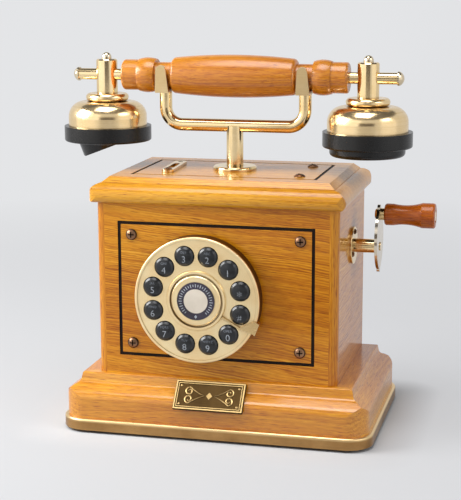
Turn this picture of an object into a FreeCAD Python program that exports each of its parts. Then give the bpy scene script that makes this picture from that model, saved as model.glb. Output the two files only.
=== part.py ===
import FreeCAD, Part
import math
import os
import re
import Sketcher

# Desk telephone in an oak box: push-button dial, sprung cradle, turned handset and a side crank.
# Origin at the middle of the foot pad's underside, +Z up, the dial faces -Y, the crank is on +X.

# Driving sizes, in millimetres and degrees
SIZES = {
    # Clearances
    "pilot_gap": 0.05,
    "run_gap": 0.05,
    "rest_gap": 0.3,
    "fit_gap": 0.02,
    # Foot pad, bottom plate and metal trim
    "pad_height": 2.0,
    "pad_inset": 7.0,
    "pad_hole_gap": 1.0,
    "plate_thick": 2.0,
    "plate_gap": 0.2,
    "trim_height": 8.0,
    "trim_ledge": 2.6,
    "trim_corner": 18.0,
    "trim_round": 1.6,
    # Moulded plinth
    "plinth_height": 38.5,
    "plinth_side_margin": 11.2,
    "plinth_front_margin": 3.0,
    "plinth_back_margin": 0.6,
    "plinth_opening_width": 140.0,
    "plinth_opening_depth": 84.0,
    "edge_round": 1.0,
    "edge_out": 0.6,
    "edge_drop": 3.6,
    "cove_out": 3.6,
    "cove_drop": 4.4,
    "slope_out": 4.4,
    "slope_drop": 3.0,
    "shoulder_out": 3.0,
    "shoulder_drop": 5.6,
    # Box
    "box_width": 170.0,
    "box_depth": 116.0,
    "box_height": 121.2,
    "panel_thick": 6.0,
    "bead_round": 5.4,
    # Lid
    "lid_overhang": 4.4,
    "lid_round_low": 4.0,
    "lid_edge": 1.2,
    "lid_round_top": 8.0,
    "lid_step": 0.5,
    "lid_bevel_out": 4.2,
    "lid_bevel_rise": 3.0,
    "lid_edge_round": 0.6,
    "lid_corner": 6.0,
    # Black inlay lines
    "groove_width": 2.3,
    "groove_depth": 1.5,
    "inlay_sink": 0.4,
    "front_groove_width": 138.6,
    "front_groove_height": 95.6,
    "front_groove_rise": 13.3,
    "lid_groove_width": 132.2,
    "lid_groove_depth": 75.0,
    # Pan-head case screws
    "case_head_r": 3.85,
    "case_head_h": 2.2,
    "case_shank_r": 1.6,
    "case_length": 5.0,
    "case_slot_width": 0.9,
    "case_slot_length": 4.4,
    "case_slot_depth": 1.1,
    "front_screw_x": 59.3,
    "front_screw_low": 22.7,
    "front_screw_high": 99.6,
    "lid_screw_x": 51.8,
    "lid_screw_y": 24.4,
    # Low head of the lever's pivot screw
    "pivot_head_r": 2.7,
    "pivot_head_h": 1.1,
    "pivot_slot_width": 0.7,
    "pivot_slot_length": 3.2,
    "pivot_slot_depth": 0.5,
    # Small screws of the dial and the crank flange
    "small_head_r": 1.9,
    "small_head_h": 1.3,
    "small_shank_r": 1.2,
    "small_length": 8.0,
    "small_slot_width": 0.6,
    "small_slot_length": 2.4,
    "small_slot_depth": 0.6,
    # Bottom screws
    "base_head_r": 3.4,
    "base_head_h": 1.6,
    "base_shank_r": 1.6,
    "base_length": 12.0,
    "base_slot_width": 0.8,
    "base_slot_length": 4.0,
    "base_slot_depth": 0.8,
    "base_screw_x": 88.0,
    "base_screw_y": 55.0,
    # Nameplate
    "nameplate_x": -1.6,
    "nameplate_width": 49.5,
    "nameplate_height": 22.0,
    "nameplate_thick": 1.4,
    "nameplate_tilt": 40.0,
    "nameplate_up": 3.4,
    "nameplate_sink": 0.5,
    "nameplate_corner": 0.8,
    "border_rise": 0.5,
    "border_width": 0.9,
    "border_gap": 0.8,
    "plate_pin_r": 0.9,
    "plate_pin_rise": 0.7,
    "plate_pin_inset": 4.2,
    # Dial
    "dial_x": -10.7,
    "dial_rise": 57.5,
    "dial_r": 44.0,
    "dial_thick": 9.5,
    "dial_skin": 3.0,
    "dial_wall": 2.6,
    "hub_r": 20.0,
    "rim_width": 1.9,
    "rim_rise": 0.7,
    "rim_round": 0.9,
    "ring_out_r": 20.8,
    "ring_in_r": 18.2,
    "ring_rise": 1.2,
    "ring_bevel": 0.6,
    "well_depth": 0.6,
    "centre_r": 17.3,
    "centre_thick": 2.2,
    "centre_bevel": 0.6,
    "label_ring_r": 13.2,
    "label_disc_r": 8.4,
    "label_thick": 0.5,
    "stop_angle": -30.0,
    "stop_ridge_width": 1.3,
    "stop_flare_r": 35.0,
    "stop_lug_near": 1.5,
    "stop_lug_far": 10.0,
    "stop_lug_in": 42.6,
    "stop_lug_out": 46.6,
    "stop_height": 1.7,
    "stop_drop": 5.0,
    "dial_screw_ring": 12.0,
    "wire_hole_r": 4.0,
    # Push buttons and keypad
    "button_ring": 31.7,
    "button_hole_r": 7.1,
    "button_gap": 0.6,
    "button_flange": 0.7,
    "button_flange_thick": 1.2,
    "button_seat": 0.1,
    "button_edge": 0.8,
    "button_bevel": 1.3,
    "button_bevel_rise": 1.1,
    "button_dome": 0.6,
    "mat_thick": 1.2,
    "board_thick": 1.6,
    "keypad_gap": 0.4,
    # Cradle and its guide
    "post_r": 6.0,
    "cradle_flange_r": 15.5,
    "cradle_flange_thick": 3.0,
    "cradle_flange_round": 1.7,
    "bush_wall": 2.4,
    "bush_below": 2.0,
    "bar_r": 4.5,
    "bar_rise": 31.3,
    "bar_bend": 12.0,
    "arm_x": 50.6,
    "hook_travel": 6.0,
    "post_below": 24.0,
    "clip_r": 11.5,
    "clip_thick": 1.2,
    "saddle_foot": 9.6,
    "saddle_tip": 7.4,
    "saddle_height": 17.5,
    "saddle_thick": 2.0,
    "saddle_flare": 8.0,
    # Hook bracket, spring and switch under the lid
    "bracket_width": 118.0,
    "bracket_depth": 62.0,
    "bracket_thick": 1.5,
    "bracket_drop": 42.0,
    "bracket_leg_x": 14.0,
    "bracket_leg_depth": 16.0,
    "spring_r": 5.0,
    "spring_wire": 1.2,
    "switch_thick": 4.5,
    "switch_depth": 8.0,
    "switch_height": 12.0,
    "switch_drop": 12.0,
    "plunger_r": 1.0,
    # Ringer lever on the lid
    "lever_x": -43.0,
    "lever_y": -22.5,
    "lever_length": 48.0,
    "lever_width": 9.0,
    "lever_thick": 2.0,
    "lever_slot_width": 4.4,
    "lever_slot_start": 8.5,
    "lever_slot_end": 27.0,
    "lever_eye_r": 1.8,
    "lever_angle": 93.0,
    "lever_lift": 0.15,
    # Handset
    "handset_rise": 66.1,
    "pillar_gap": 5.7,
    "rod_r": 4.05,
    "rod_proud": 12.8,
    "handle_half": 81.3,
    "handle_end_r": 10.8,
    "handle_end_round": 1.6,
    "bead_out": 69.5,
    "bead_in": 57.0,
    "bead_r": 12.4,
    "bead_crown": 1.0,
    "neck_r": 9.15,
    "barrel_half": 45.0,
    "barrel_r": 15.0,
    "barrel_end_r": 12.8,
    "barrel_end_round": 3.0,
    "nut_r": 4.9,
    "nut_rim": 1.2,
    "nut_dome": 3.2,
    "finial_r": 3.5,
    "finial_rim": 1.2,
    "finial_dome": 3.6,
    "pillar_r": 7.6,
    "pillar_below": 13.4,
    "pillar_above": 10.9,
    "pillar_bevel": 0.9,
    "spigot_r": 3.0,
    "spigot_length": 4.0,
    "collar_r": 15.4,
    "collar_height": 5.7,
    "bell_r": 28.2,
    "bell_height": 17.6,
    "bell_round": 11.0,
    "bell_wall": 1.5,
    "bell_lap": 5.0,
    "cap_r": 31.3,
    "cap_height": 10.8,
    "cap_round": 1.4,
    "cap_floor": 3.0,
    "cap_well_r": 25.0,
    "lip_r": 26.4,
    "lip_height": 6.3,
    "lip_round": 3.0,
    "dish_r": 20.0,
    "dish_depth": 2.6,
    "sound_hole_r": 1.2,
    "sound_hole_ring": 9.0,
    "capsule_r": 21.0,
    "capsule_thick": 7.0,
    "horn_offset": 4.4,
    "horn_r": 18.0,
    "horn_tip_r": 13.6,
    "horn_drop": 11.0,
    "horn_tip_flat": 1.2,
    "horn_root": 1.0,
    # Crank
    "crank_rise": 87.3,
    "crank_flange_r": 13.2,
    "crank_flange_thick": 1.8,
    "crank_flange_round": 0.6,
    "crank_screw_ring": 9.8,
    "shaft_r": 4.9,
    "crank_bush_wall": 2.6,
    "crank_bush_inside": 4.0,
    "shaft_collar_r": 7.4,
    "shaft_collar_thick": 2.0,
    "crank_reach": 17.7,
    "crank_arm_thick": 2.0,
    "shaft_spigot_r": 3.0,
    "shaft_rivet": 0.6,
    "arm_up": 29.7,
    "arm_down": 18.2,
    "arm_tip_top": 3.2,
    "arm_tip_low": 2.2,
    "arm_bulge": 13.0,
    "handle_offset": 23.0,
    "pin_r": 2.5,
    "rivet_r": 3.9,
    "rivet_height": 1.8,
    "spacer_r": 4.2,
    "spacer_length": 2.8,
    "grip_length": 35.2,
    "grip_inner_r": 7.6,
    "grip_outer_r": 8.8,
    "grip_hollow": 1.35,
    "grip_shoulder": 6.0,
    "grip_swell": 26.0,
    "grip_round": 1.6,
    "pin_head_r": 4.2,
    "pin_head_thick": 1.8,
    # Inner works and rear sockets
    "main_board_length": 78.0,
    "main_board_depth": 60.0,
    "main_board_x": -26.0,
    "main_board_lift": 6.0,
    "main_board_leg": 6.0,
    "chip_height": 5.0,
    "speaker_r": 22.0,
    "speaker_height": 16.0,
    "speaker_x": 45.0,
    "speaker_magnet_r": 13.0,
    "speaker_cone": 7.0,
    "jack_x": 18.0,
    "jack_rise": 20.0,
    "jack_width": 16.0,
    "jack_height": 14.0,
    "jack_depth": 14.0,
    "jack_proud": 0.8,
    "socket_width": 9.8,
    "socket_height": 6.8,
    "socket_depth": 10.5,
}

# Places and sums worked out from the driving sizes
PLACES = {
    "base_top": "pad_height + plinth_height",
    "plinth_low": "pad_height + plate_thick",
    "plinth_half_x": "box_width / 2 + plinth_side_margin",
    "plinth_half_y": "(box_depth + plinth_front_margin + plinth_back_margin) / 2",
    "moulding_out": "edge_out + cove_out + slope_out + shoulder_out",
    "edge_low": "base_top - edge_drop",
    "cove_low": "edge_low - cove_drop",
    "slope_low": "cove_low - slope_drop",
    "shoulder_low": "slope_low - shoulder_drop",
    "cove_bend": "(cove_out ^ 2 + cove_drop ^ 2) / (2 * cove_out)",
    "shoulder_bend": "(shoulder_out ^ 2 + shoulder_drop ^ 2) / (2 * shoulder_out)",
    "foot_half_x": "plinth_half_x + moulding_out",
    "foot_half_y": "plinth_half_y + moulding_out",
    "foot_corner": "trim_corner - trim_ledge",
    "box_front": "plinth_front_margin - plinth_half_y",
    "box_back": "box_front + box_depth",
    "box_mid": "box_front + box_depth / 2",
    "box_top": "base_top + box_height",
    "wall_x": "box_width / 2",
    "lid_ledge": "lid_round_low + lid_edge + lid_round_top",
    "lid_height": "lid_ledge + lid_step + lid_bevel_rise + lid_edge_round",
    "lid_top": "box_top + lid_height",
    "lid_half_x": "box_width / 2 + lid_overhang",
    "lid_half_y": "box_depth / 2 + lid_overhang",
    "dial_z": "base_top + dial_rise",
    "dial_face": "box_front - dial_thick",
    "skin_back": "box_front - dial_thick + dial_skin",
    "bar_z": "lid_top + bar_rise",
    "handset_z": "lid_top + handset_rise",
    "pivot_shank_r": "case_shank_r",
    "pivot_length": "case_length",
    "capsule_x": "handle_half + pillar_gap + pillar_r",
    "rod_half": "capsule_x + pillar_r + rod_proud",
    "saddle_z": "handset_z - neck_r - rest_gap",
    "clip_top": "box_top - bush_below - hook_travel - rest_gap",
    "post_end": "box_top - post_below",
    "web_top": "box_top - bracket_drop",
    "collar_top": "handset_z - pillar_below",
    "cap_top": "collar_top - collar_height - bell_height",
    "cap_low": "cap_top - cap_height",
    "crank_z": "base_top + crank_rise",
    "crank_arm_x": "wall_x + crank_reach",
    "board_z": "plinth_low + main_board_lift",
    "jack_z": "base_top + jack_rise",
}

AXIS_TURNS = {
    "+z": FreeCAD.Rotation(),
    "-z": FreeCAD.Rotation(FreeCAD.Vector(1, 0, 0), 180),
    "+x": FreeCAD.Rotation(FreeCAD.Vector(0, 1, 0), 90),
    "-x": FreeCAD.Rotation(FreeCAD.Vector(0, 1, 0), -90),
    "+y": FreeCAD.Rotation(FreeCAD.Vector(1, 0, 0), -90),
    "-y": FreeCAD.Rotation(FreeCAD.Vector(1, 0, 0), 90),
}
OPPOSITE = {"+z": "-z", "-z": "+z", "+x": "-x", "-x": "+x", "+y": "-y", "-y": "+y"}
ORIGIN = ("0", "0", "0")
BUTTON_COUNT = 12
BUTTON_NAMES = ("star", "1", "2", "3", "4", "5", "6", "7", "8", "9", "0", "hash")

doc = FreeCAD.newDocument("Telephone")
nodes = []


def bind(text, own_places=False):
    """Give each size and place in an expression the name of its sheet."""

    def qualify(match):
        name = match.group(0)
        if name in SIZES:
            return "Sizes." + name
        if name in PLACES and not own_places:
            return "Places." + name
        return name

    return re.sub(r"[a-z_][a-z_0-9]*", qualify, text)


def fill_sheets():
    """Put the driving sizes and the places into their two sheets."""
    sizes = doc.addObject("Spreadsheet::Sheet", "Sizes")
    for row, (alias, number) in enumerate(SIZES.items(), start=1):
        sizes.set(f"A{row}", alias)
        sizes.set(f"B{row}", str(number))
        sizes.setAlias(f"B{row}", alias)
    doc.recompute()
    places = doc.addObject("Spreadsheet::Sheet", "Places")
    for row, alias in enumerate(PLACES, start=1):
        places.set(f"A{row}", alias)
        places.setAlias(f"B{row}", alias)
    for row, text in enumerate(PLACES.values(), start=1):
        places.set(f"B{row}", "=" + bind(text, own_places=True))
    doc.recompute()
    return sizes


sheet = fill_sheets()


def value(text):
    """The present number of an expression."""
    return float(sheet.evalExpression(bind(text)))


def place(item, at, turn=None):
    """Turn an object, then tie its place to the sheets."""
    item.Placement = FreeCAD.Placement(FreeCAD.Vector(), turn or FreeCAD.Rotation())
    for axis, text in zip("xyz", at):
        item.setExpression(f"Placement.Base.{axis}", bind(text))
    return item


def add(kind, name, **sizes):
    """A primitive whose sizes are tied to the sheets."""
    item = doc.addObject(kind, name)
    for key, text in sizes.items():
        item.setExpression(key, bind(text))
    return item


def block(name, size, low):
    item = add("Part::Box", name, Length=size[0], Width=size[1], Height=size[2])
    return place(item, low)


def rod(name, radius, length, at, axis="+z"):
    item = add("Part::Cylinder", name, Radius=radius, Height=length)
    return place(item, at, AXIS_TURNS[axis])


def join(name, *items):
    item = doc.addObject("Part::MultiFuse", name)
    item.Shapes = list(items)
    item.Refine = True
    return item


def common(name, *items):
    item = doc.addObject("Part::MultiCommon", name)
    item.Shapes = list(items)
    return item


def cut(name, base, *tools):
    item = doc.addObject("Part::Cut", name)
    item.Base = base
    item.Tool = tools[0] if len(tools) == 1 else join(name + "_tools", *tools)
    return item


def group(name, *items):
    item = doc.addObject("Part::Compound", name)
    item.Links = list(items)
    return item


def node(label, item):
    """Name a finished sub-part."""
    item.Label = label
    nodes.append(item)
    return item


def arc_points(start, end, radius, turn):
    """The middle point of a minor arc; turn is 1 to the left and -1 to the right."""
    chord = end - start
    left = FreeCAD.Vector(-chord.y, chord.x, 0).normalize()
    reach = math.sqrt(max(radius ** 2 - (chord.Length / 2) ** 2, 0))
    return (start + end) * 0.5 + left * turn * (reach - radius)


def draw(sketch, outline):
    """Draw a closed outline of (x, y) or (x, y, radius, turn) and tie every point to the sheets."""
    points = [FreeCAD.Vector(value(corner[0]), value(corner[1]), 0) for corner in outline]
    count = len(outline)
    starts = []
    ends = []
    for index, corner in enumerate(outline):
        start = points[index]
        end = points[(index + 1) % count]
        if len(corner) == 2:
            sketch.addGeometry(Part.LineSegment(start, end))
            starts.append(1)
            ends.append(2)
            continue
        middle = arc_points(start, end, value(corner[2]), corner[3])
        if corner[3] > 0:
            sketch.addGeometry(Part.Arc(start, middle, end))
            starts.append(1)
            ends.append(2)
        else:
            sketch.addGeometry(Part.Arc(end, middle, start))
            starts.append(2)
            ends.append(1)
    rules = []
    ties = []
    for index, corner in enumerate(outline):
        following = (index + 1) % count
        rules.append(Sketcher.Constraint("Coincident", index, ends[index], following, starts[following]))
        for kind, text, number in (
            ("DistanceX", corner[0], points[index].x),
            ("DistanceY", corner[1], points[index].y),
        ):
            ties.append((len(rules), text))
            rules.append(Sketcher.Constraint(kind, -1, 1, index, starts[index], number))
        if len(corner) == 4:
            ties.append((len(rules), corner[2]))
            rules.append(Sketcher.Constraint("Radius", index, value(corner[2])))
    sketch.addConstraint(rules)
    for number, text in ties:
        sketch.setExpression(f"Constraints[{number}]", bind(text))


def sketched(name, outline, plane):
    """A body with one sketch on one of its own planes."""
    body = doc.addObject("PartDesign::Body", name)
    sketch = body.newObject("Sketcher::SketchObject", name + "_outline")
    support = [item for item in body.Origin.OriginFeatures if item.Role == plane + "_Plane"]
    sketch.AttachmentSupport = [(support[0], "")]
    sketch.MapMode = "FlatFace"
    draw(sketch, outline)
    return body, sketch


def padded(name, outline, length, plane="XY", at=ORIGIN, turn=None, midplane=False):
    body, sketch = sketched(name, outline, plane)
    pad = body.newObject("PartDesign::Pad", name + "_pad")
    pad.Profile = sketch
    pad.Midplane = midplane
    pad.setExpression("Length", bind(length))
    return place(body, at, turn)


def turned(name, outline, at=ORIGIN, axis="+z"):
    """A solid of revolution: the outline holds radius and height along its axis."""
    body, sketch = sketched(name, outline, "XZ")
    spin = body.newObject("PartDesign::Revolution", name + "_spin")
    spin.Profile = sketch
    spin.ReferenceAxis = (sketch, ["V_Axis"])
    spin.Angle = 360
    return place(body, at, AXIS_TURNS[axis])


def rounded_rectangle(half_x, half_y, radius):
    return [
        (f"({half_x}) - ({radius})", f"-({half_y})", radius, 1),
        (half_x, f"-({half_y}) + ({radius})"),
        (half_x, f"({half_y}) - ({radius})", radius, 1),
        (f"({half_x}) - ({radius})", half_y),
        (f"-({half_x}) + ({radius})", half_y, radius, 1),
        (f"-({half_x})", f"({half_y}) - ({radius})"),
        (f"-({half_x})", f"-({half_y}) + ({radius})", radius, 1),
        (f"-({half_x}) + ({radius})", f"-({half_y})"),
    ]


def mirrored(half):
    """Close a right-hand outline, listed from its foot up, with its mirror image."""
    left = []
    for index in range(len(half) - 1, -1, -1):
        arc = half[index - 1][2:] if index else ()
        left.append((f"-({half[index][0]})", half[index][1]) + tuple(arc))
    right = half[:-1] if half[-1][0] == "0" else half
    return right + left


def frame(name, half_x, half_y, width, thick, at, turn=None):
    """A flat rectangular ring, its outer half sizes given."""
    outer = block(
        name + "_outer", (f"2 * ({half_x})", f"2 * ({half_y})", thick), (f"-({half_x})", f"-({half_y})", "0")
    )
    inner = block(
        name + "_inner",
        (f"2 * ({half_x} - {width})", f"2 * ({half_y} - {width})", thick),
        (f"{width} - ({half_x})", f"{width} - ({half_y})", "0"),
    )
    return place(cut(name, outer, inner), at, turn)


def dome(radius, low, rise):
    """The outline point where a dome of this rise starts; it ends on the axis."""
    return (radius, low, f"(({radius}) ^ 2 + ({rise}) ^ 2) / (2 * ({rise}))", 1)


def screw(name, kind, at, axis):
    """A cross-slotted domed screw whose head stands along the axis from its seat."""
    edge = f"{kind}_head_h * 0.3"
    crown = f"{kind}_head_h - {edge}"
    outline = [
        ("0", f"-{kind}_length"),
        (f"{kind}_shank_r", f"-{kind}_length"),
        (f"{kind}_shank_r", "0"),
        (f"{kind}_head_r", "0"),
        dome(f"{kind}_head_r", edge, crown),
        ("0", f"{kind}_head_h"),
    ]
    blank = turned(name + "_blank", outline)
    long, wide, deep = f"{kind}_slot_length", f"{kind}_slot_width", f"{kind}_slot_depth"
    slot_low = f"{kind}_head_h - {deep}"
    slot_a = block(name + "_slot_a", (long, wide, deep), (f"-{long} / 2", f"-{wide} / 2", slot_low))
    slot_b = block(name + "_slot_b", (wide, long, deep), (f"-{wide} / 2", f"-{long} / 2", slot_low))
    return place(cut(name, blank, slot_a, slot_b), at, AXIS_TURNS[axis])


def pilot(name, kind, at, axis):
    """The hole for a screw's shank, from its seat inwards."""
    return rod(name, f"{kind}_shank_r + pilot_gap", f"{kind}_length + rest_gap", at, OPPOSITE[axis])


def shifted(at, axis_index, text):
    """The same place moved along one axis."""
    moved = list(at)
    moved[axis_index] = f"{moved[axis_index]} + {text}"
    return tuple(moved)


# Screw seats, shared by the screws and their holes
BASE_SCREWS = [
    (f"{side} * base_screw_x", f"{end} * base_screw_y", "pad_height")
    for side in (-1, 0, 1)
    for end in (-1, 1)
]
FRONT_SCREWS = [
    (f"{side} * front_screw_x", "box_front", f"base_top + {height}")
    for side in (-1, 1)
    for height in ("front_screw_low", "front_screw_high")
]
LEVER_PIVOT = ("lever_x", "box_mid + lever_y", "lid_top")
LID_SCREWS = [
    ("lid_screw_x", "box_mid - lid_screw_y", "lid_top"),
    ("lid_screw_x", "box_mid + lid_screw_y", "lid_top"),
]
DIAL_SCREWS = [
    (
        f"dial_x + dial_screw_ring * cos({angle})",
        "box_front + panel_thick",
        f"dial_z + dial_screw_ring * sin({angle})",
    )
    for angle in (90, 210, 330)
]
CRANK_SCREWS = [
    (
        "wall_x + crank_flange_thick",
        f"box_mid + crank_screw_ring * cos({angle})",
        f"crank_z + crank_screw_ring * sin({angle})",
    )
    for angle in (90, 210, 330)
]


def build_foot():
    inner = ("foot_half_x", "foot_half_y", "foot_corner")
    pad_outline = rounded_rectangle(
        "foot_half_x + trim_ledge - pad_inset",
        "foot_half_y + trim_ledge - pad_inset",
        "trim_corner - pad_inset",
    )
    pad_blank = padded("pad_blank", pad_outline, "pad_height")
    pad_holes = [
        rod(f"pad_hole_{index}", "base_head_r + pad_hole_gap", "pad_height", (at[0], at[1], "0"))
        for index, at in enumerate(BASE_SCREWS)
    ]
    node("base_pad", cut("base_pad", pad_blank, *pad_holes))

    plate_outline = rounded_rectangle(
        "foot_half_x - plate_gap", "foot_half_y - plate_gap", "foot_corner - plate_gap"
    )
    plate_blank = padded("plate_blank", plate_outline, "plate_thick", at=("0", "0", "pad_height"))
    plate_holes = [
        rod(f"plate_hole_{index}", "base_shank_r + pilot_gap", "plate_thick", at)
        for index, at in enumerate(BASE_SCREWS)
    ]
    node("bottom_plate", cut("bottom_plate", plate_blank, *plate_holes))

    screws = [screw(f"base_screw_{index}", "base", at, "-z") for index, at in enumerate(BASE_SCREWS)]
    node("bottom_screws", group("bottom_screws", *screws))

    band_outline = rounded_rectangle("foot_half_x + trim_ledge", "foot_half_y + trim_ledge", "trim_corner")
    band = padded("trim_band", band_outline, "trim_height", at=("0", "0", "pad_height"))
    ease_top(band, "trim_round")
    core = padded("trim_core", rounded_rectangle(*inner), "trim_height", at=("0", "0", "pad_height"))
    node("base_trim", cut("base_trim", band, core))


def ease_top(body, radius):
    """Round the edges of a padded body's top face."""
    doc.recompute()
    base = body.Tip
    top = max(base.Shape.Faces, key=lambda face: face.CenterOfMass.z)
    names = [
        f"Edge{index}"
        for index, edge in enumerate(base.Shape.Edges, start=1)
        if any(edge.isSame(other) for other in top.Edges)
    ]
    fillet = body.newObject("PartDesign::Fillet", body.Name + "_round")
    fillet.Base = (base, names)
    fillet.setExpression("Radius", bind(radius))
    body.Tip = fillet


def moulding(half):
    """Half of the plinth's section, from its foot to its flat top."""
    return [
        (f"{half} + moulding_out", "plinth_low"),
        (f"{half} + moulding_out", "shoulder_low", "shoulder_bend", 1),
        (f"{half} + moulding_out - shoulder_out", "slope_low"),
        (f"{half} + edge_out + cove_out", "cove_low", "cove_bend", -1),
        (f"{half} + edge_out", "edge_low"),
        (half, "base_top - edge_round", "edge_round", 1),
        (f"{half} - edge_round", "base_top"),
    ]


def nameplate_place(along, above):
    """A place on the nameplate's back plane, which leans on the plinth's shoulder."""
    reach = f"shoulder_bend - nameplate_sink + ({above})"
    out = f"moulding_out - shoulder_bend + ({reach}) * cos(nameplate_tilt) - ({along}) * sin(nameplate_tilt)"
    rise = f"shoulder_low + ({reach}) * sin(nameplate_tilt) + ({along}) * cos(nameplate_tilt)"
    return ("nameplate_x", f"-plinth_half_y - ({out})", rise)


def lean(item, at):
    """Lean a flat piece back by the nameplate's tilt."""
    place(item, at, FreeCAD.Rotation(FreeCAD.Vector(1, 0, 0), 90 - value("nameplate_tilt")))
    item.setExpression("Placement.Rotation.Angle", bind("90 - nameplate_tilt"))
    return item


def build_plinth():
    along_x = padded(
        "plinth_along_x", mirrored(moulding("plinth_half_y")), "2 * foot_half_x", "YZ", midplane=True
    )
    along_y = padded(
        "plinth_along_y", mirrored(moulding("plinth_half_x")), "2 * foot_half_y", "XZ", midplane=True
    )
    plan = padded(
        "plinth_plan", rounded_rectangle("foot_half_x", "foot_half_y", "foot_corner"), "base_top"
    )
    opening = block(
        "plinth_opening",
        ("plinth_opening_width", "plinth_opening_depth", "base_top"),
        ("-plinth_opening_width / 2", "box_mid - plinth_opening_depth / 2", "0"),
    )
    seat_width = "nameplate_width + 2 * plate_gap"
    seat_height = "nameplate_height + 2 * plate_gap"
    seat_blank = add(
        "Part::Box", "nameplate_seat_blank", Length=seat_width, Width=seat_height, Height="moulding_out"
    )
    place(seat_blank, (f"-({seat_width}) / 2", f"-({seat_height}) / 2", "0"))
    seat = lean(group("nameplate_seat", seat_blank), nameplate_place("nameplate_up", "0"))
    holes = [
        rod(f"plinth_hole_{index}", "base_shank_r + pilot_gap", "base_length + rest_gap", at)
        for index, at in enumerate(BASE_SCREWS)
    ]
    block_solid = common("plinth_block", along_x, along_y, plan)
    node("plinth", cut("plinth", block_solid, opening, seat, *holes))

    plate = padded(
        "nameplate_plate",
        rounded_rectangle("nameplate_width / 2", "nameplate_height / 2", "nameplate_corner"),
        "nameplate_thick",
    )
    inset = "border_width + border_gap"
    outer = frame(
        "nameplate_border",
        "nameplate_width / 2 - border_gap / 2",
        "nameplate_height / 2 - border_gap / 2",
        "border_width",
        "border_rise",
        ("0", "0", "nameplate_thick"),
    )
    inner = frame(
        "nameplate_line",
        f"nameplate_width / 2 - border_gap / 2 - ({inset})",
        f"nameplate_height / 2 - border_gap / 2 - ({inset})",
        "border_width / 2",
        "border_rise",
        ("0", "0", "nameplate_thick"),
    )
    pin_outline = [
        ("0", "0"),
        ("plate_pin_r", "0"),
        dome("plate_pin_r", "plate_pin_rise / 3", "plate_pin_rise * 2 / 3"),
        ("0", "plate_pin_rise"),
    ]
    pins = []
    for side in (-1, 1):
        for end in (-1, 1):
            x = f"{side} * (nameplate_width / 2 - plate_pin_inset)"
            y = f"{end} * (nameplate_height / 2 - plate_pin_inset)"
            pins.append(turned(f"plate_pin_{len(pins)}", pin_outline, (x, y, "nameplate_thick")))
    nameplate = join("nameplate", plate, outer, inner, *pins)
    node("nameplate", lean(nameplate, nameplate_place("nameplate_up", "0")))


def build_box():
    inner_width = "box_width - 2 * panel_thick"
    inner_depth = "box_depth - 2 * panel_thick"
    facing = AXIS_TURNS["-y"]
    groove_at = ("0", "box_front + groove_depth", "base_top + front_groove_rise + front_groove_height / 2")
    groove_half = ("front_groove_width / 2", "front_groove_height / 2", "groove_width")
    groove = frame("front_groove", *groove_half, "groove_depth", groove_at, facing)
    panel = block(
        "front_blank",
        (inner_width, "panel_thick", "box_height"),
        ("panel_thick - wall_x", "box_front", "base_top"),
    )
    holes = [pilot(f"front_hole_{index}", "case", at, "-y") for index, at in enumerate(FRONT_SCREWS)]
    holes += [pilot(f"dial_hole_{index}", "small", at, "+y") for index, at in enumerate(DIAL_SCREWS)]
    wire_hole = rod("wire_hole", "wire_hole_r", "panel_thick", ("dial_x", "box_front", "dial_z"), "+y")
    node("front_panel", cut("front_panel", panel, groove, wire_hole, *holes))
    inlay = frame("front_inlay", *groove_half, "groove_depth - inlay_sink", groove_at, facing)
    node("front_inlay", inlay)

    side_size = ("panel_thick", inner_depth, "box_height")
    left = block("left_side", side_size, ("-wall_x", "box_front + panel_thick", "base_top"))
    node("left_side", left)
    right = block(
        "right_blank", side_size, ("wall_x - panel_thick", "box_front + panel_thick", "base_top")
    )
    crank_hole = rod(
        "crank_hole",
        "shaft_r + run_gap + crank_bush_wall + pilot_gap",
        "panel_thick",
        ("wall_x - panel_thick", "box_mid", "crank_z"),
        "+x",
    )
    holes = [pilot(f"crank_screw_hole_{index}", "small", at, "+x") for index, at in enumerate(CRANK_SCREWS)]
    node("right_side", cut("right_side", right, crank_hole, *holes))

    back = block(
        "back_blank",
        (inner_width, "panel_thick", "box_height"),
        ("panel_thick - wall_x", "box_back - panel_thick", "base_top"),
    )
    jack_holes = [
        block(
            f"jack_hole_{index}",
            ("jack_width + 2 * pilot_gap", "panel_thick", "jack_height + 2 * pilot_gap"),
            (
                f"{side} * jack_x - jack_width / 2 - pilot_gap",
                "box_back - panel_thick",
                "jack_z - jack_height / 2 - pilot_gap",
            ),
        )
        for index, side in enumerate((-1, 1))
    ]
    node("back_panel", cut("back_panel", back, *jack_holes))

    bead_outline = [
        ("0", "0"),
        ("panel_thick", "0"),
        ("panel_thick", "panel_thick - bead_round", "bead_round", 1),
        ("panel_thick - bead_round", "panel_thick"),
        ("0", "panel_thick"),
    ]
    corners = (
        ("wall_x - panel_thick", "box_back - panel_thick", 0),
        ("panel_thick - wall_x", "box_back - panel_thick", 90),
        ("panel_thick - wall_x", "box_front + panel_thick", 180),
        ("wall_x - panel_thick", "box_front + panel_thick", 270),
    )
    beads = [
        padded(
            f"corner_bead_{angle}",
            bead_outline,
            "box_height",
            at=(x, y, "base_top"),
            turn=FreeCAD.Rotation(FreeCAD.Vector(0, 0, 1), angle),
        )
        for x, y, angle in corners
    ]
    node("corner_beads", group("corner_beads", *beads))


def lid_section(half):
    """Half of the lid's section: bullnose, small step and bevelled raised panel."""
    ledge = f"{half} - lid_round_top"
    return [
        (f"{half} - lid_round_low", "0", "lid_round_low", 1),
        (half, "lid_round_low"),
        (half, "lid_round_low + lid_edge", "lid_round_top", 1),
        (ledge, "lid_ledge"),
        (ledge, "lid_ledge + lid_step"),
        (f"{ledge} - lid_bevel_out + lid_edge_round", "lid_height - lid_edge_round"),
        (f"{ledge} - lid_bevel_out", "lid_height"),
    ]


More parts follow.
